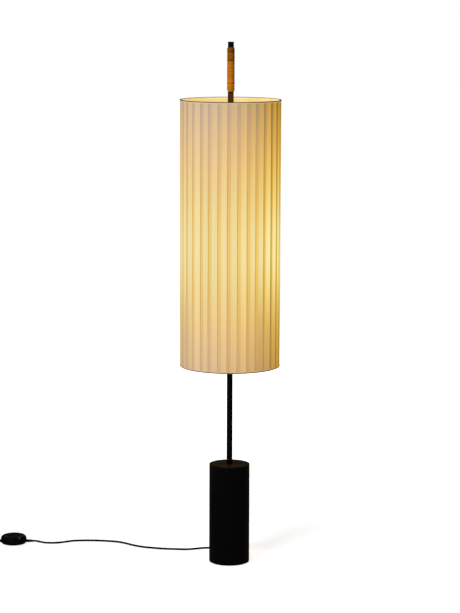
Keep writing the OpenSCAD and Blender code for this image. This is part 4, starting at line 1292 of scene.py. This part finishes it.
@dataclass
class Workshop:
    """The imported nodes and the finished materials, and how a piece joins the lamp.

    Attributes:
        nodes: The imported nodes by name.
        slots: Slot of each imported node, from the record.
        materials: Material of each slot.
        own: Material of the few nodes that have one of their own.
    """

    nodes: dict[str, Piece]
    slots: dict[str, Slot]
    materials: dict[Slot, bpy.types.Material]
    own: dict[str, bpy.types.Material]

    @classmethod
    def of(cls, frame: dict, effects: Effects) -> Workshop:
        """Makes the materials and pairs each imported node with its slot.

        Args:
            effects: The shared effects.

        Returns:
            The workshop that every sub-assembly builds in.
        """
        slots = {row["node"]: Slot(row["material_slot"]) for row in frame["record"]["subparts"]}
        materials = {slot: finish.material(slot.value, effects) for slot, finish in FINISHES.items()}
        own = {node: finish.material(node + "_finish", effects) for node, finish in OWN_FINISHES.items()}
        return cls(frame["nodes"], slots, materials, own)

    def dress(self, *nodes: str) -> None:
        """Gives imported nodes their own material, or else the material of their slot.

        Args:
            *nodes: Names of the nodes.
        """
        for node in nodes:
            materials = self.nodes[node].data.materials
            materials.clear()
            materials.append(self.own.get(node, self.materials[self.slots[node]]))
            LOG.info("dressed %s as %s", node, self.slots[node].value)

    def fit(self, skin: Skin, name: str, slot: Slot, *stands_for: str) -> Piece:
        """Makes a piece of a skin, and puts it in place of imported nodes.

        Args:
            skin: The piece's surfaces.
            name: Name of the piece.
            slot: Slot that it takes its finish from.
            *stands_for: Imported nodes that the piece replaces.

        Returns:
            The piece, on the lamp's body.
        """
        piece = skin.to_object(name)
        piece.data.materials.append(self.materials[slot])
        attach(piece, Body.LAMP.value)
        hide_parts(*stands_for)
        LOG.info("built %s, %d faces", name, len(piece.data.polygons))
        return piece


@dataclass
class SubAssembly:
    """A part of the lamp that builds its pieces in the workshop.

    Attributes:
        shop: The workshop.
    """

    shop: Workshop


@dataclass
class Base(SubAssembly):
    """Weighted cylinder: its packed shells, and a felt pad with soft edges.

    Attributes:
        pad_thickness: Thickness of the pad.
        pad_round: Radius of its edges.
        pad_hole: Radius of the hole in its middle.
        sides: Sides of its mesh.
    """

    pad_thickness: float = 2.0 * MM
    pad_round: float = 0.7 * MM
    pad_hole: float = 22 * MM
    sides: int = 128

    def build(self) -> None:
        """Dresses the base, and builds its pad: a round-cornered section turned round the axis."""
        self.shop.dress("base_sleeve", "base_top_disc", "base_plate")
        self.shop.dress("base_washer", "base_nut", "base_ballast")
        box, hole = Box.of("base_foot_pad"), self.pad_hole
        radius, low = box.high.x, box.low.z
        section = round_rectangle((hole, low), (radius, low + self.pad_thickness), self.pad_round)
        skin = Skin().add(revolved(section, self.sides), along=arc_lengths(closed(section)), wrap_rows=True)
        pad = self.shop.fit(skin, "felt_pad", Slot.FELT, "base_foot_pad")
        width, area = 2 * radius, math.pi * (radius**2 - hole**2)


@dataclass
class Pole(SubAssembly):
    """Pole tubes, their nipple, the crossbar and both frames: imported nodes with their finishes."""

    def build(self) -> None:
        """Dresses every node of the pole."""
        self.shop.dress("lower_pole", "upper_pole", "pole_nipple", "crossbar", "top_frame", "bottom_frame")


@dataclass
class LampHolders(SubAssembly):
    """Two lamp holders with their bulbs, and the leads that feed them.

    Attributes:
        parts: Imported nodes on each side.
        diameter: Diameter of a holder's lead.
        sides: Sides of its mesh.
        step: Distance between its rings.
        hang: How far it runs under the crossbar.
    """

    parts: tuple[str, ...] = ("holder_nipple", "holder_base", "holder_shell", "bulb_cap", "bulb_glass")
    diameter: float = 2.6 * MM
    sides: int = 14
    step: float = 2.0 * MM
    hang: float = 26 * MM

    def build(self) -> None:
        """Dresses the holders and bulbs, and builds both leads."""
        self.shop.dress(*(f"{side}_{part}" for side in ("left", "right") for part in self.parts))
        self.shop.dress("holder_nuts", "inner_lead")
        self.build_lead("left", -1.0)
        self.build_lead("right", 1.0)

    def build_lead(self, side: str, sign: float) -> None:
        """Smooth lead out of the pole's slot, along under the crossbar and up.

        Its chosen points are in millimetres, away from the pole and up.

        Args:
            side: Name of the side.
            sign: Way of the side along X.
        """
        node = f"{side}_holder_lead"
        ends, under = Box.of(node), Box.of("crossbar").low.z
        axis = abs(Box.of(f"{side}_holder_nipple").middle.x) / MM
        low, high, bar, run = (z / MM for z in (ends.low.z, ends.high.z, under, under - self.hang))
        route = (
            (1.6, low), (1.6, low + 8), (4, run - 13), (9, run - 6), (17, run - 2), (axis - 30, run),
            (axis - 18, run + 1), (axis - 8, run + 4), (axis - 2, run + 11), (axis, bar - 6), (axis, high),
        )
        path = even_path(np.array([(sign * x, 0.0, z) for x, z in route]) * MM, self.step)
        skin = tube(path, self.diameter / 2, self.sides, up=(0.0, 1.0, 0.0))
        self.shop.fit(skin, f"{side}_lead", Slot.LEAD_SLEEVE, node)


class Quarter(Enum):
    """Quarters of the ribbon cover, each with the angle of its middle from the front."""

    FRONT = 0
    RIGHT = 90
    BACK = 180
    LEFT = 270


@dataclass
class RibbonShade(SubAssembly):
    """Drum shade: ribbons that lap over their left neighbours, bound at both edges.

    Attributes:
        ribbons: Number of ribbons round the shade.
        overlap: Width of the lap, along the rim.
        turn: Turn of the whole pattern, in degrees.
        strays: How far the front ribbons' left edges stray from even places, in
            degrees, from the one at the left of the view to the one at its right.
        cloth: Thickness of the ribbon.
        layer_step: Radial step from the upper layer to the lower one.
        liner: Thickness of the film inside the cover.
        lap: Width of the film's glued seam.
        rows: Points along a ribbon.
        ripple: How far the cloth strays from a true cylinder.
        wander: How far a ribbon strays sideways.
        seed: Seed of the ripples and of each ribbon's tone.
        tape: Thickness of the binding tape.
        inner_lip: Width of the tape inside the shade.
        bend: Height of the tape's round fold.
        sides: Sides of the tape's mesh.
        stitches: Number of stitches round an edge.
        stitch: Length of a stitch.
        stitch_drop: Distance of the stitches from the fold.
        thread: Radius of the thread, and how far it is sunk in and stands out.
    """

    ribbons: int = 32
    overlap: float = 12.5 * MM
    turn: float = -3.7
    strays: tuple[float, ...] = (0.3, -0.2, 0.1, 1.1, 0.1, 0.3, -0.1, 0.1, -0.1, -0.9, -1.0, -0.3)
    cloth: float = 0.7 * MM
    layer_step: float = 1.2 * MM
    liner: float = 0.6 * MM
    lap: float = 12 * MM
    rows: int = 56
    ripple: float = 0.12 * MM
    wander: float = 0.25 * MM
    seed: int = 7
    tape: float = 0.6 * MM
    inner_lip: float = 2.2 * MM
    bend: float = 1.1 * MM
    sides: int = 192
    stitches: int = 198
    stitch: float = 3.2 * MM
    stitch_drop: float = 3.9 * MM
    thread: Point = (0.22 * MM, 0.15 * MM, 0.28 * MM)

    def __post_init__(self) -> None:
        """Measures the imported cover, and draws each ribbon's phases, tone and place.

        The draws keep this order: three phases of slow sines, then a tone from -1 to 1,
        then a stray from the even place in degrees, which the front ribbons replace.
        """
        cover = Box.of("shade_ribbons")
        self.radius, self.low, self.high = cover.high.x, cover.low.z, cover.high.z
        self.pitch = FULL_TURN / self.ribbons
        self.width = self.pitch * self.radius + self.overlap
        rng = np.random.default_rng(self.seed)
        self.phases = rng.uniform(0, FULL_TURN, (self.ribbons, 3))
        self.tones = rng.uniform(-1, 1, self.ribbons)
        self.places = rng.uniform(-0.5, 0.5, self.ribbons)
        self.places[np.arange(len(self.strays)) - len(self.strays) // 2] = self.strays

    def build(self) -> None:
        """Builds the liner, the bindings with their stitches, and the cover in quarters."""
        self.build_liner()
        bindings = [self.build_binding(name) for name in ("top_binding", "bottom_binding")]
        for quarter in Quarter:
            self.build_quarter(quarter, bindings)

    def build_liner(self) -> None:
        """One strip of film bent into a tube, with its end glued inside its start.

        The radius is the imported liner's all the way round, and eases inwards by one
        thickness over the last millimetres before the lap. The seam stands at the front.
        """
        box = Box.of("shade_liner")
        outer, low, high = box.high.x, box.low.z, box.high.z
        length = FULL_TURN * outer
        starts, eases = 6 * MM, 5 * MM
        plain = np.linspace(0, length - starts, 181)
        along = np.concatenate([plain, np.linspace(length - eases, length + self.lap, 10)])
        step = self.liner + 0.05 * MM
        radius = outer - step * eased((along - length + starts) / eases)
        height = np.linspace(low, high, 8)
        loop = np.concatenate([height, height[::-1]])
        depth = np.repeat([0.0, self.liner], len(height))
        out = turned(along / outer - math.pi / 2)
        grid = (radius[:, None] - depth)[..., None] * out[:, None] + loop[:, None] * UP
        skin = Skin().add(grid, closed(loop), along / length, caps=True)
        film = self.shop.fit(skin, "liner_film", Slot.LINER_FILM, "shade_liner")

    def ribbon(self, index: int) -> tuple[Array, Array, Array]:
        """One ribbon as a closed strip of cloth.

        The angle runs from the ribbon's left edge. The radius is the upper layer's over
        the lap and eases down to the lower layer's, so that the next ribbon can lie
        on top. Slow sines along the height let the cloth and its edge stray a little.

        Args:
            index: Place of the ribbon round the shade.

        Returns:
            The points, the map across the ribbon and the map along it.
        """
        width, shown = self.width, self.pitch * self.radius
        single = shown - self.overlap
        lap = np.linspace(0, self.overlap, 5)
        fall = self.overlap + single * np.linspace(0.08, 0.45, 5)
        across = np.concatenate([lap, fall, np.linspace(shown - 0.3 * single, width, 6)])
        drop = eased((across - self.overlap - 0.08 * single) / (0.37 * single))
        height = np.linspace(self.low, self.high, self.rows)
        share = np.linspace(0, 1, self.rows)[:, None]
        first, second, third = self.phases[index]
        held = np.sin(np.pi * share) ** 0.5
        wave = np.sin(FULL_TURN * (1.3 * share + 0.4 * across / width) + first)
        lift = np.exp(-across / (2 * MM)) * (1 + np.sin(FULL_TURN * 2.1 * share + second))
        outer = self.radius - self.layer_step * drop + self.ripple * held * (wave + lift)
        slide = self.wander * held * np.sin(FULL_TURN * 1.7 * share + third)
        start = math.radians(self.turn - 90 + float(self.places[index])) + index * self.pitch
        out = turned(start + (across + slide) / self.radius)
        rounded = 0.5 * np.exp(-np.minimum(across, width - across) / (0.3 * MM))
        faces = [
            (outer - self.cloth * depth)[..., None] * out + height[:, None, None] * UP
            for depth in (rounded, 1 - rounded)
        ]
        grid = np.concatenate([faces[0], faces[1][:, ::-1]], axis=1)
        return grid, closed(np.concatenate([across, across[::-1]])), height

    def build_quarter(self, quarter: Quarter, bindings: list[Piece]) -> None:
        """Builds the eight ribbons of one quarter.

        Args:
            quarter: The quarter.
            bindings: The binding tapes; not used.
        """
        share = self.ribbons // len(Quarter)
        first = quarter.value * self.ribbons // 360 - share // 2
        skin = Skin()
        for index in np.arange(first, first + share) % self.ribbons:
            skin.add(*self.ribbon(index), caps=True, tone=self.tones[index])
        piece = self.shop.fit(skin, f"ribbons_{quarter.name.lower()}", Slot.RIBBON_FABRIC, "shade_ribbons")

    def build_binding(self, node: str) -> Piece:
        """Tape folded over an edge: its section is a bent strip with a round fold.

        The strip runs from its outer lip over the rim to its inner lip, which lies
        against the liner. The fold is a half ellipse, and the thickness is laid off
        towards the rim.

        Args:
            node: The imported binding.

        Returns:
            The tape with its stitches.
        """
        box, top = Box.of(node), node == "top_binding"
        fold, sign = (box.high.z, -1.0) if top else (box.low.z, 1.0)
        outer, lip = box.high.x, box.size.z
        inner = Box.of("shade_liner").high.x - self.liner - self.tape
        mid, half = (outer + inner) / 2, (outer - inner) / 2
        bend = np.radians(np.linspace(0, 180, 13))
        outside, inside = (
            np.stack([mid + (half - by) * np.cos(bend), self.bend - (self.bend - by) * np.sin(bend)], axis=-1)
            for by in (0.0, self.tape)
        )
        ends = [(inner, self.inner_lip), (inner + self.tape, self.inner_lip)]
        loop = np.vstack([[(outer, lip)], outside, ends, inside[::-1], [(outer - self.tape, lip)]])
        loop = loop * (1.0, sign) + (0.0, fold)
        face = arc_lengths(loop[: len(loop) // 2])
        inward = closed(np.concatenate([face, face[::-1]]))
        around = np.linspace(0, FULL_TURN * outer, self.sides + 1)
        skin = Skin().add(revolved(loop, self.sides), around, inward, wrap_rows=True, tone=float(not top))
        self.add_stitches(skin, outer, fold + sign * self.stitch_drop)
        return self.shop.fit(skin, node.replace("binding", "edge_tape"), Slot.BINDING_TAPE, node)

    def add_stitches(self, skin: Skin, radius: float, height: float) -> None:
        """Row of short thread arches round the edge: each a half wave of a thin tube.

        Args:
            skin: Skin that they are added to.
            radius: Radius of the edge.
            height: Height of the row.
        """
        thread, sunk, bulge = self.thread
        share = np.linspace(0, 1, 5)
        centre = np.linspace(0, FULL_TURN, self.stitches, endpoint=False)[:, None]
        out = radius - sunk + bulge * np.sin(np.pi * share)
        line = out[:, None] * turned(centre + (share - 0.5) * self.stitch / radius) + height * UP
        for path in line:
            skin.add(swept(path, circle(thread, 5)), along=np.full(5, 0.5 * MM), caps=True)


@dataclass
class CarryingHandle(SubAssembly):
    """Handle: a black tube and cap, wound with one length of split cane.

    Attributes:
        turns: Turns of the cane.
        start: Angle at which the cane starts, in degrees from +X.
        gap: Room between neighbouring turns.
        play: Room between the tube and the cane.
        per_turn: Rings in each turn.
    """

    turns: float = 24 + 1 / 3
    start: float = -150.0
    gap: float = 0.32 * MM
    play: float = 0.12 * MM
    per_turn: int = 48

    def build(self) -> None:
        """Dresses the tube, nipple and cap, and winds one crowned strip up a helix.

        The angle and the height grow together, one pitch to a turn. The section is flat
        inside and crowned outside, and slow sines vary its thickness and its height.
        """
        self.shop.dress("handle_tube", "handle_nipple", "handle_cap")
        box = Box.of("handle_winding")
        outer, inner = box.high.y, Box.of("handle_tube").high.x + self.play
        pitch = (box.high.z - box.low.z + self.gap) / (self.turns + 1)
        width = pitch - self.gap
        across = np.linspace(-1, 1, 13)
        crown = (outer - inner) * (0.6 + 0.4 * (1 - np.abs(across) ** 3) ** 0.5)
        rise = np.concatenate([crown, [0.0, 0.0]])
        shift = np.concatenate([across, [0.94, -0.94]]) * width / 2
        turn = np.linspace(0, self.turns, round(self.turns * self.per_turn) + 1)[:, None]
        angle = FULL_TURN * turn + math.radians(self.start)
        radius = inner + rise * (1 - 0.035 * (1 + np.sin(angle * 0.37 + 1.0)))
        z = box.low.z + width / 2 + pitch * turn + shift * (1 - 0.03 * np.sin(angle * 0.61) ** 2)
        grid = radius[..., None] * turned(angle) + z[..., None] * UP
        skin = Skin().add(grid, closed(shift), turn[:, 0] * FULL_TURN * outer, caps=True)
        self.shop.fit(skin, "cane_winding", Slot.CANE, "handle_winding")


@dataclass
class MainsCord(SubAssembly):
    """The whole cord: from the base to the dimmer, and on to the stored coil and plug.

    Attributes:
        diameter: Diameter of the cord.
        sides: Sides of its mesh.
        step: Distance between its rings.
        route: Chosen points from the gland to the dimmer, in millimetres.
        coil_lead: Chosen points from the dimmer to the coil, in millimetres.
        plug_lead: Chosen points from the coil to the plug, in millimetres.
        coil_turns: Turns in the coil, half of them in each layer.
        coil_inner: Radius of the coil's innermost bend.
        coil_gap: Room between its turns.
    """

    diameter: float = 6.4 * MM
    sides: int = 20
    step: float = 3.0 * MM
    route: tuple[Point, ...] = (
        (0, 99, 19), (0, 107, 19), (-1, 119, 17.5), (-5, 131, 14), (-12, 141, 10), (-23, 149, 6.5),
        (-38, 154, 4), (-56, 155, 3.3), (-74, 154, 3.3), (-91, 150, 3.3), (-108, 143, 3.3),
        (-125, 137, 3.3), (-143, 134, 3.3), (-161, 135, 3.3), (-179, 137, 3.3), (-198, 139, 3.3),
        (-217, 142, 3.3), (-235, 147, 3.3), (-253, 153, 3.3), (-271, 159, 3.3), (-288, 167, 3.3),
        (-303, 177, 3.3), (-317, 188, 3.3), (-331, 201, 3.3), (-345, 214, 3.3), (-360, 225, 3.3),
        (-377, 233, 3.3), (-396, 238, 3.3), (-416, 242, 3.3), (-436, 245, 3.3), (-457, 246, 3.3),
        (-478, 246, 3.3), (-498, 244, 3.3), (-516, 240, 3.3), (-533, 231, 3.3), (-550, 221, 3.3),
        (-568, 214, 3.3), (-587, 212, 3.3), (-605, 214, 3.5), (-620, 216, 5.4), (-631, 216, 7.8),
        (-640, 216, 9), (-647, 216, 9),
    )
    coil_lead: tuple[Point, ...] = (
        (-771, 216, 9), (-778, 216, 9), (-788, 216, 7.4), (-797, 216, 5.1),
        (-805, 216, 4.3), (-812, 216, 4.3),
    )
    plug_lead: tuple[Point, ...] = (
        (-824.8, 216, 11.2), (-832, 216, 11.2), (-843, 216, 10.3), (-854, 216, 8.3),
        (-864, 216, 6.85), (-872, 216, 6.85),
    )
    coil_turns: int = 6
    coil_inner: float = 26 * MM
    coil_gap: float = 0.5 * MM

    def coil(self) -> Array:
        """Loops that spiral in, climb one layer in the half turn there, and spiral out.

        The radius is the inner one plus a pitch for every turn from the middle, and the
        climb is an eased step of one pitch.

        Returns:
            Points of the loops, without the one at the end of the coil's lead.
        """
        pitch = self.diameter + self.coil_gap
        outer = self.coil_inner + pitch * self.coil_turns / 2
        centre = np.array(self.coil_lead[-1]) * MM - [self.diameter, outer, 0]
        turn = np.linspace(0, self.coil_turns, self.coil_turns * 36 + 1)[1:, None]
        middle = turn - self.coil_turns / 2
        climb = pitch * eased(2 * (middle + 0.25))
        ring = turned(math.pi / 2 + FULL_TURN * turn[:, 0])
        return centre + (self.coil_inner + pitch * np.abs(middle)) * ring + climb * UP

    def declare(self, piece: Piece, path: Array, far_end: str, lay: str, pieces: list[Piece]) -> None:
        """Takes a stretch of cord, and does nothing with it.

        Args:
            piece: The stretch; not used.
            path: Points along it; not used.
            far_end: What it ends in; not used.
            lay: How it lies; not used.
            pieces: Pieces that sit on it; not used.
        """

    def build(self) -> None:
        """Lays both stretches and builds the pieces that sit on them."""
        leads = [np.array(lead) * MM for lead in (self.coil_lead, self.plug_lead)]
        first = even_path(np.array(self.route) * MM, self.step)
        second = even_path(np.vstack([leads[0], self.coil(), leads[1]]), self.step)
        runs = [tube(path, self.diameter / 2, self.sides) for path in (first, second)]
        cord = self.shop.fit(runs[0], "cord_to_dimmer_run", Slot.CORD_SHEATH, "cord_to_dimmer")
        coiled = ("cord_to_coil", "cord_coil", "cord_to_plug")
        stored = self.shop.fit(runs[1], "cord_to_plug_run", Slot.CORD_SHEATH, *coiled)
        reliefs = Reliefs(self.shop)
        gland = reliefs.build_gland()
        inlet, outlet = (reliefs.build_dimmer_relief(node) for node in ("dimmer_inlet", "dimmer_outlet"))
        tie = CoilTie(self.shop).build()
        plug = Plug(self.shop).build()
        FootDimmer(self.shop).build()
        self.declare(cord, first, "fitting", "loose", [gland, inlet])
        self.declare(stored, second, "plug", "coiled", [outlet, tie, *plug])


@dataclass
class Reliefs(SubAssembly):
    """Tapered strain reliefs with grooves that let them bend.

    Attributes:
        grooves: Grooves along a relief.
        groove_depth: Depth of a groove.
        flange: Thickness of the flanges.
        neck: Radius of the gland's neck.
        sides: Sides of a relief.
    """

    grooves: int = 6
    groove_depth: float = 0.55 * MM
    flange: float = 2.0 * MM
    neck: float = 5.0 * MM
    sides: int = 48

    def tail(self, start: float, end: float, root: float, tip: float) -> Array:
        """Profile of a tapered, grooved tail: (radius, distance along).

        The radius falls evenly from root to tip, and a raised cosine cuts each groove.

        Args:
            start: Distance at which it starts.
            end: Distance at which it ends.
            root: Radius at its start.
            tip: Radius at its end.

        Returns:
            Points of the profile.
        """
        share = np.linspace(0, 1, self.grooves * 12 + 1)
        cut = 0.5 - 0.5 * np.cos(FULL_TURN * self.grooves * share)
        fade = eased(share / 0.12) * eased((1 - share) / 0.12)
        radius = root + (tip - root) * share - self.groove_depth * eased(2.2 * cut - 1.2) * fade
        return np.stack([radius, start + (end - start) * share], axis=-1)

    def turn(self, profile: Array, at: Point, axis: Point, name: str, node: str) -> Piece:
        """Turns a profile round an axis, and fits the relief.

        Args:
            profile: Points (radius, distance along the axis).
            at: Start of the axis.
            axis: Its direction.
            name: Name of the piece.
            node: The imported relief.

        Returns:
            The relief.
        """
        turn = np.array(Vector((0, 0, 1)).rotation_difference(Vector(axis)).to_matrix())
        skin = Skin().add(revolved(profile, self.sides) @ turn.T + np.array(at))
        return self.shop.fit(skin, name, Slot.SOFT_BLACK, node)

    def build_gland(self) -> Piece:
        """Gland in the back of the base: two flanges, a neck and a grooved tail.

        Returns:
            The gland.
        """
        box, wall = Box.of("cord_gland"), Box.of("base_sleeve").high.y
        inner, wide, thick, neck = box.low.y, box.size.x / 2, self.flange, self.neck
        out, end = wall - inner, box.high.y - inner
        face, inner_round, outer_round = out + thick, 0.5 * MM, 0.6 * MM
        tail = self.tail(out, end, 5.5 * MM, 4.0 * MM)
        rounds = [
            arc((wide - inner_round, inner_round), inner_round, -90, 0, 3),
            arc((wide - outer_round, face - outer_round), outer_round, 0, 90, 3),
        ]
        middle = [(wide, thick), (neck, thick), (neck, out), (wide, out)]
        tail = np.vstack([[(5.4 * MM, face)], tail[tail[:, 1] > face], [(0, end)]])
        profile = np.vstack([[(0, 0)], rounds[0], middle, rounds[1], tail])
        return self.turn(profile, (0, inner, box.middle.z), (0, 1, 0), "base_gland", "cord_gland")

    def build_dimmer_relief(self, node: str) -> Piece:
        """Relief in the dimmer's wall: a flange inside, a neck and a grooved tail.

        Args:
            node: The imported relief.

        Returns:
            The relief.
        """
        box, body, flange, slim = Box.of(node), Box.of("dimmer_base"), 5.1 * MM, 3.9 * MM
        if node == "dimmer_inlet":
            sign, inner, wall, tip = 1.0, box.low.x, body.high.x, box.high.x
        else:
            sign, inner, wall, tip = -1.0, box.high.x, body.low.x, box.low.x
        out, end = abs(wall - inner), abs(tip - inner)
        start = [(0, 0), (flange, 0), (flange, self.flange), (slim, self.flange), (slim, out)]
        profile = np.vstack([start, self.tail(out, end, 5.0 * MM, slim), [(0, end)]])
        at = (inner, box.middle.y, box.middle.z)
        return self.turn(profile, at, (sign, 0, 0), node.replace("dimmer", "relief"), node)

    def build_plug_relief(self) -> Piece:
        """Relief behind the plug, from the cord to the plug's body.

        Returns:
            The relief.
        """
        box = Box.of("plug_relief")
        tail = self.tail(0.0, box.size.x, 5.0 * MM, 3.6 * MM)
        profile = np.vstack([[(0, 0)], tail, [(0, box.size.x)]])
        at = (box.low.x, box.middle.y, box.middle.z)
        return self.turn(profile, at, (1, 0, 0), "relief_plug", "plug_relief")


@dataclass
class CoilTie(SubAssembly):
    """Strap round the stack of turns.

    Attributes:
        thickness: Thickness of the strap.
        corner: Radius of its bends.
        edge: Radius of its edges.
    """

    thickness: float = 0.8 * MM
    corner: float = 2.6 * MM
    edge: float = 0.35 * MM

    def build(self) -> Piece:
        """Carries a flat section round a round-cornered loop.

        Returns:
            The strap.
        """
        box, inset = Box.of("coil_tie"), self.thickness / 2
        half, middle = box.size.x / 2, box.middle.x
        low, high = box.low.yz + Vector((inset, inset)), box.high.yz - Vector((inset, inset))
        loop = round_rectangle(low, high, self.corner, steps=8)
        path = np.insert(loop, 0, middle, axis=1)
        ahead = unit(np.roll(path, -1, 0) - np.roll(path, 1, 0))
        side = np.array([1.0, 0.0, 0.0])
        section = round_rectangle((-half, -inset), (half, inset), self.edge, steps=3)
        grid = path[:, None] + section[:, :1] * side + section[:, 1:] * np.cross(ahead, side)[:, None]
        skin = Skin().add(grid, closed(section[:, 0]), arc_lengths(closed(path)), wrap_rows=True)
        return self.shop.fit(skin, "coil_strap", Slot.TIE_FABRIC, "coil_tie")


@dataclass
class Plug(SubAssembly):
    """Flat two-pin plug: a moulded body with finger grooves, its relief and its pins.

    Attributes:
        neck_width: Width of the body at the cord.
        taper: Length of the tapered part.
        end_round: Length over which both ends round off, and how much.
        grip: Distances from the cord's end between which the grooves lie.
        groove: Pitch and depth of the finger grooves.
        power: Power of the sections' superellipse.
        sides: Points round a section.
        stations: Sections along the body.
    """

    neck_width: float = 12.0 * MM
    taper: float = 15.0 * MM
    end_round: Span = (1.6 * MM, 1.4 * MM)
    grip: Span = (18 * MM, 30.8 * MM)
    groove: Span = (3.2 * MM, 0.5 * MM)
    power: float = 3.6
    sides: int = 48
    stations: int = 45

    def build(self) -> list[Piece]:
        """Dresses the pins, and builds the body and the relief."""
        self.shop.dress("plug_pins")
        return [self.build_body(), Reliefs(self.shop).build_plug_relief(), self.shop.nodes["plug_pins"]]

    def build_body(self) -> Piece:
        """Superellipse sections from the cord's end to the face.

        Half the width eases from the neck's to the full one over the taper, both halves
        round off over the last millimetres, and raised cosines cut the finger grooves.

        Returns:
            The body.
        """
        box = Box.of("plug_body")
        length, wide, thick = box.size.x, box.size.y / 2, box.size.z / 2
        along = np.linspace(0, length, self.stations)
        widening = eased(along / self.taper)
        ends = np.clip(np.minimum(along, length - along) / self.end_round[0], 0, 1)
        shrink = self.end_round[1] * (1 - np.sqrt(1 - (1 - ends) ** 2))
        first, last = self.grip
        pitch, depth = self.groove
        groove = 0.5 - 0.5 * np.cos(FULL_TURN * (along - first) / pitch)
        gripped = ((along > first) & (along < last)) * groove * depth
        half_w = self.neck_width / 2 + (wide - self.neck_width / 2) * widening - shrink - gripped
        half_t = thick * (0.86 + 0.14 * widening) - shrink
        y, z = (np.sign(way) * np.abs(way) ** (2 / self.power) for way in circle(1.0, self.sides).T)
        x = np.broadcast_to(box.high.x - along[:, None], (self.stations, self.sides))
        grid = np.stack(
            [x, box.middle.y + half_w[:, None] * y, box.middle.z + half_t[:, None] * z], axis=-1
        )
        return self.shop.fit(Skin().add(grid, caps=True), "plug_shell", Slot.PLUG_PLASTIC, "plug_body")


@dataclass
class FootDimmer(SubAssembly):
    """Round foot dimmer: packed shells and parts with their finishes.

    Attributes:
        parts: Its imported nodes, without the first word of their names.
    """

    parts: tuple[str, ...] = (
        "base", "cover", "feet", "screws", "board", "terminals", "leads", "potentiometer", "pilot", "slider",
    )

    def build(self) -> None:
        """Dresses every part of the dimmer."""
        self.shop.dress(*(f"dimmer_{part}" for part in self.parts))


def main() -> None:
    """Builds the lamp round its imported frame, sub-assembly by sub-assembly."""
    logging.basicConfig(level=logging.INFO, format="%(name)s: %(message)s")
    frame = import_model()
    bulb = Box.of("right_bulb_glass")
    # The globes' light spreads from a fifth of their width below their tops.
    effects = Effects(globe_x=bulb.middle.x, globe_z=bulb.high.z - bulb.size.x / 5)
    Studio(effects).build()
    shop = Workshop.of(frame, effects)
    for assembly in (MainsCord, Base, Pole, LampHolders, RibbonShade, CarryingHandle):
        assembly(shop).build()


if __name__ == "__main__":
    main()
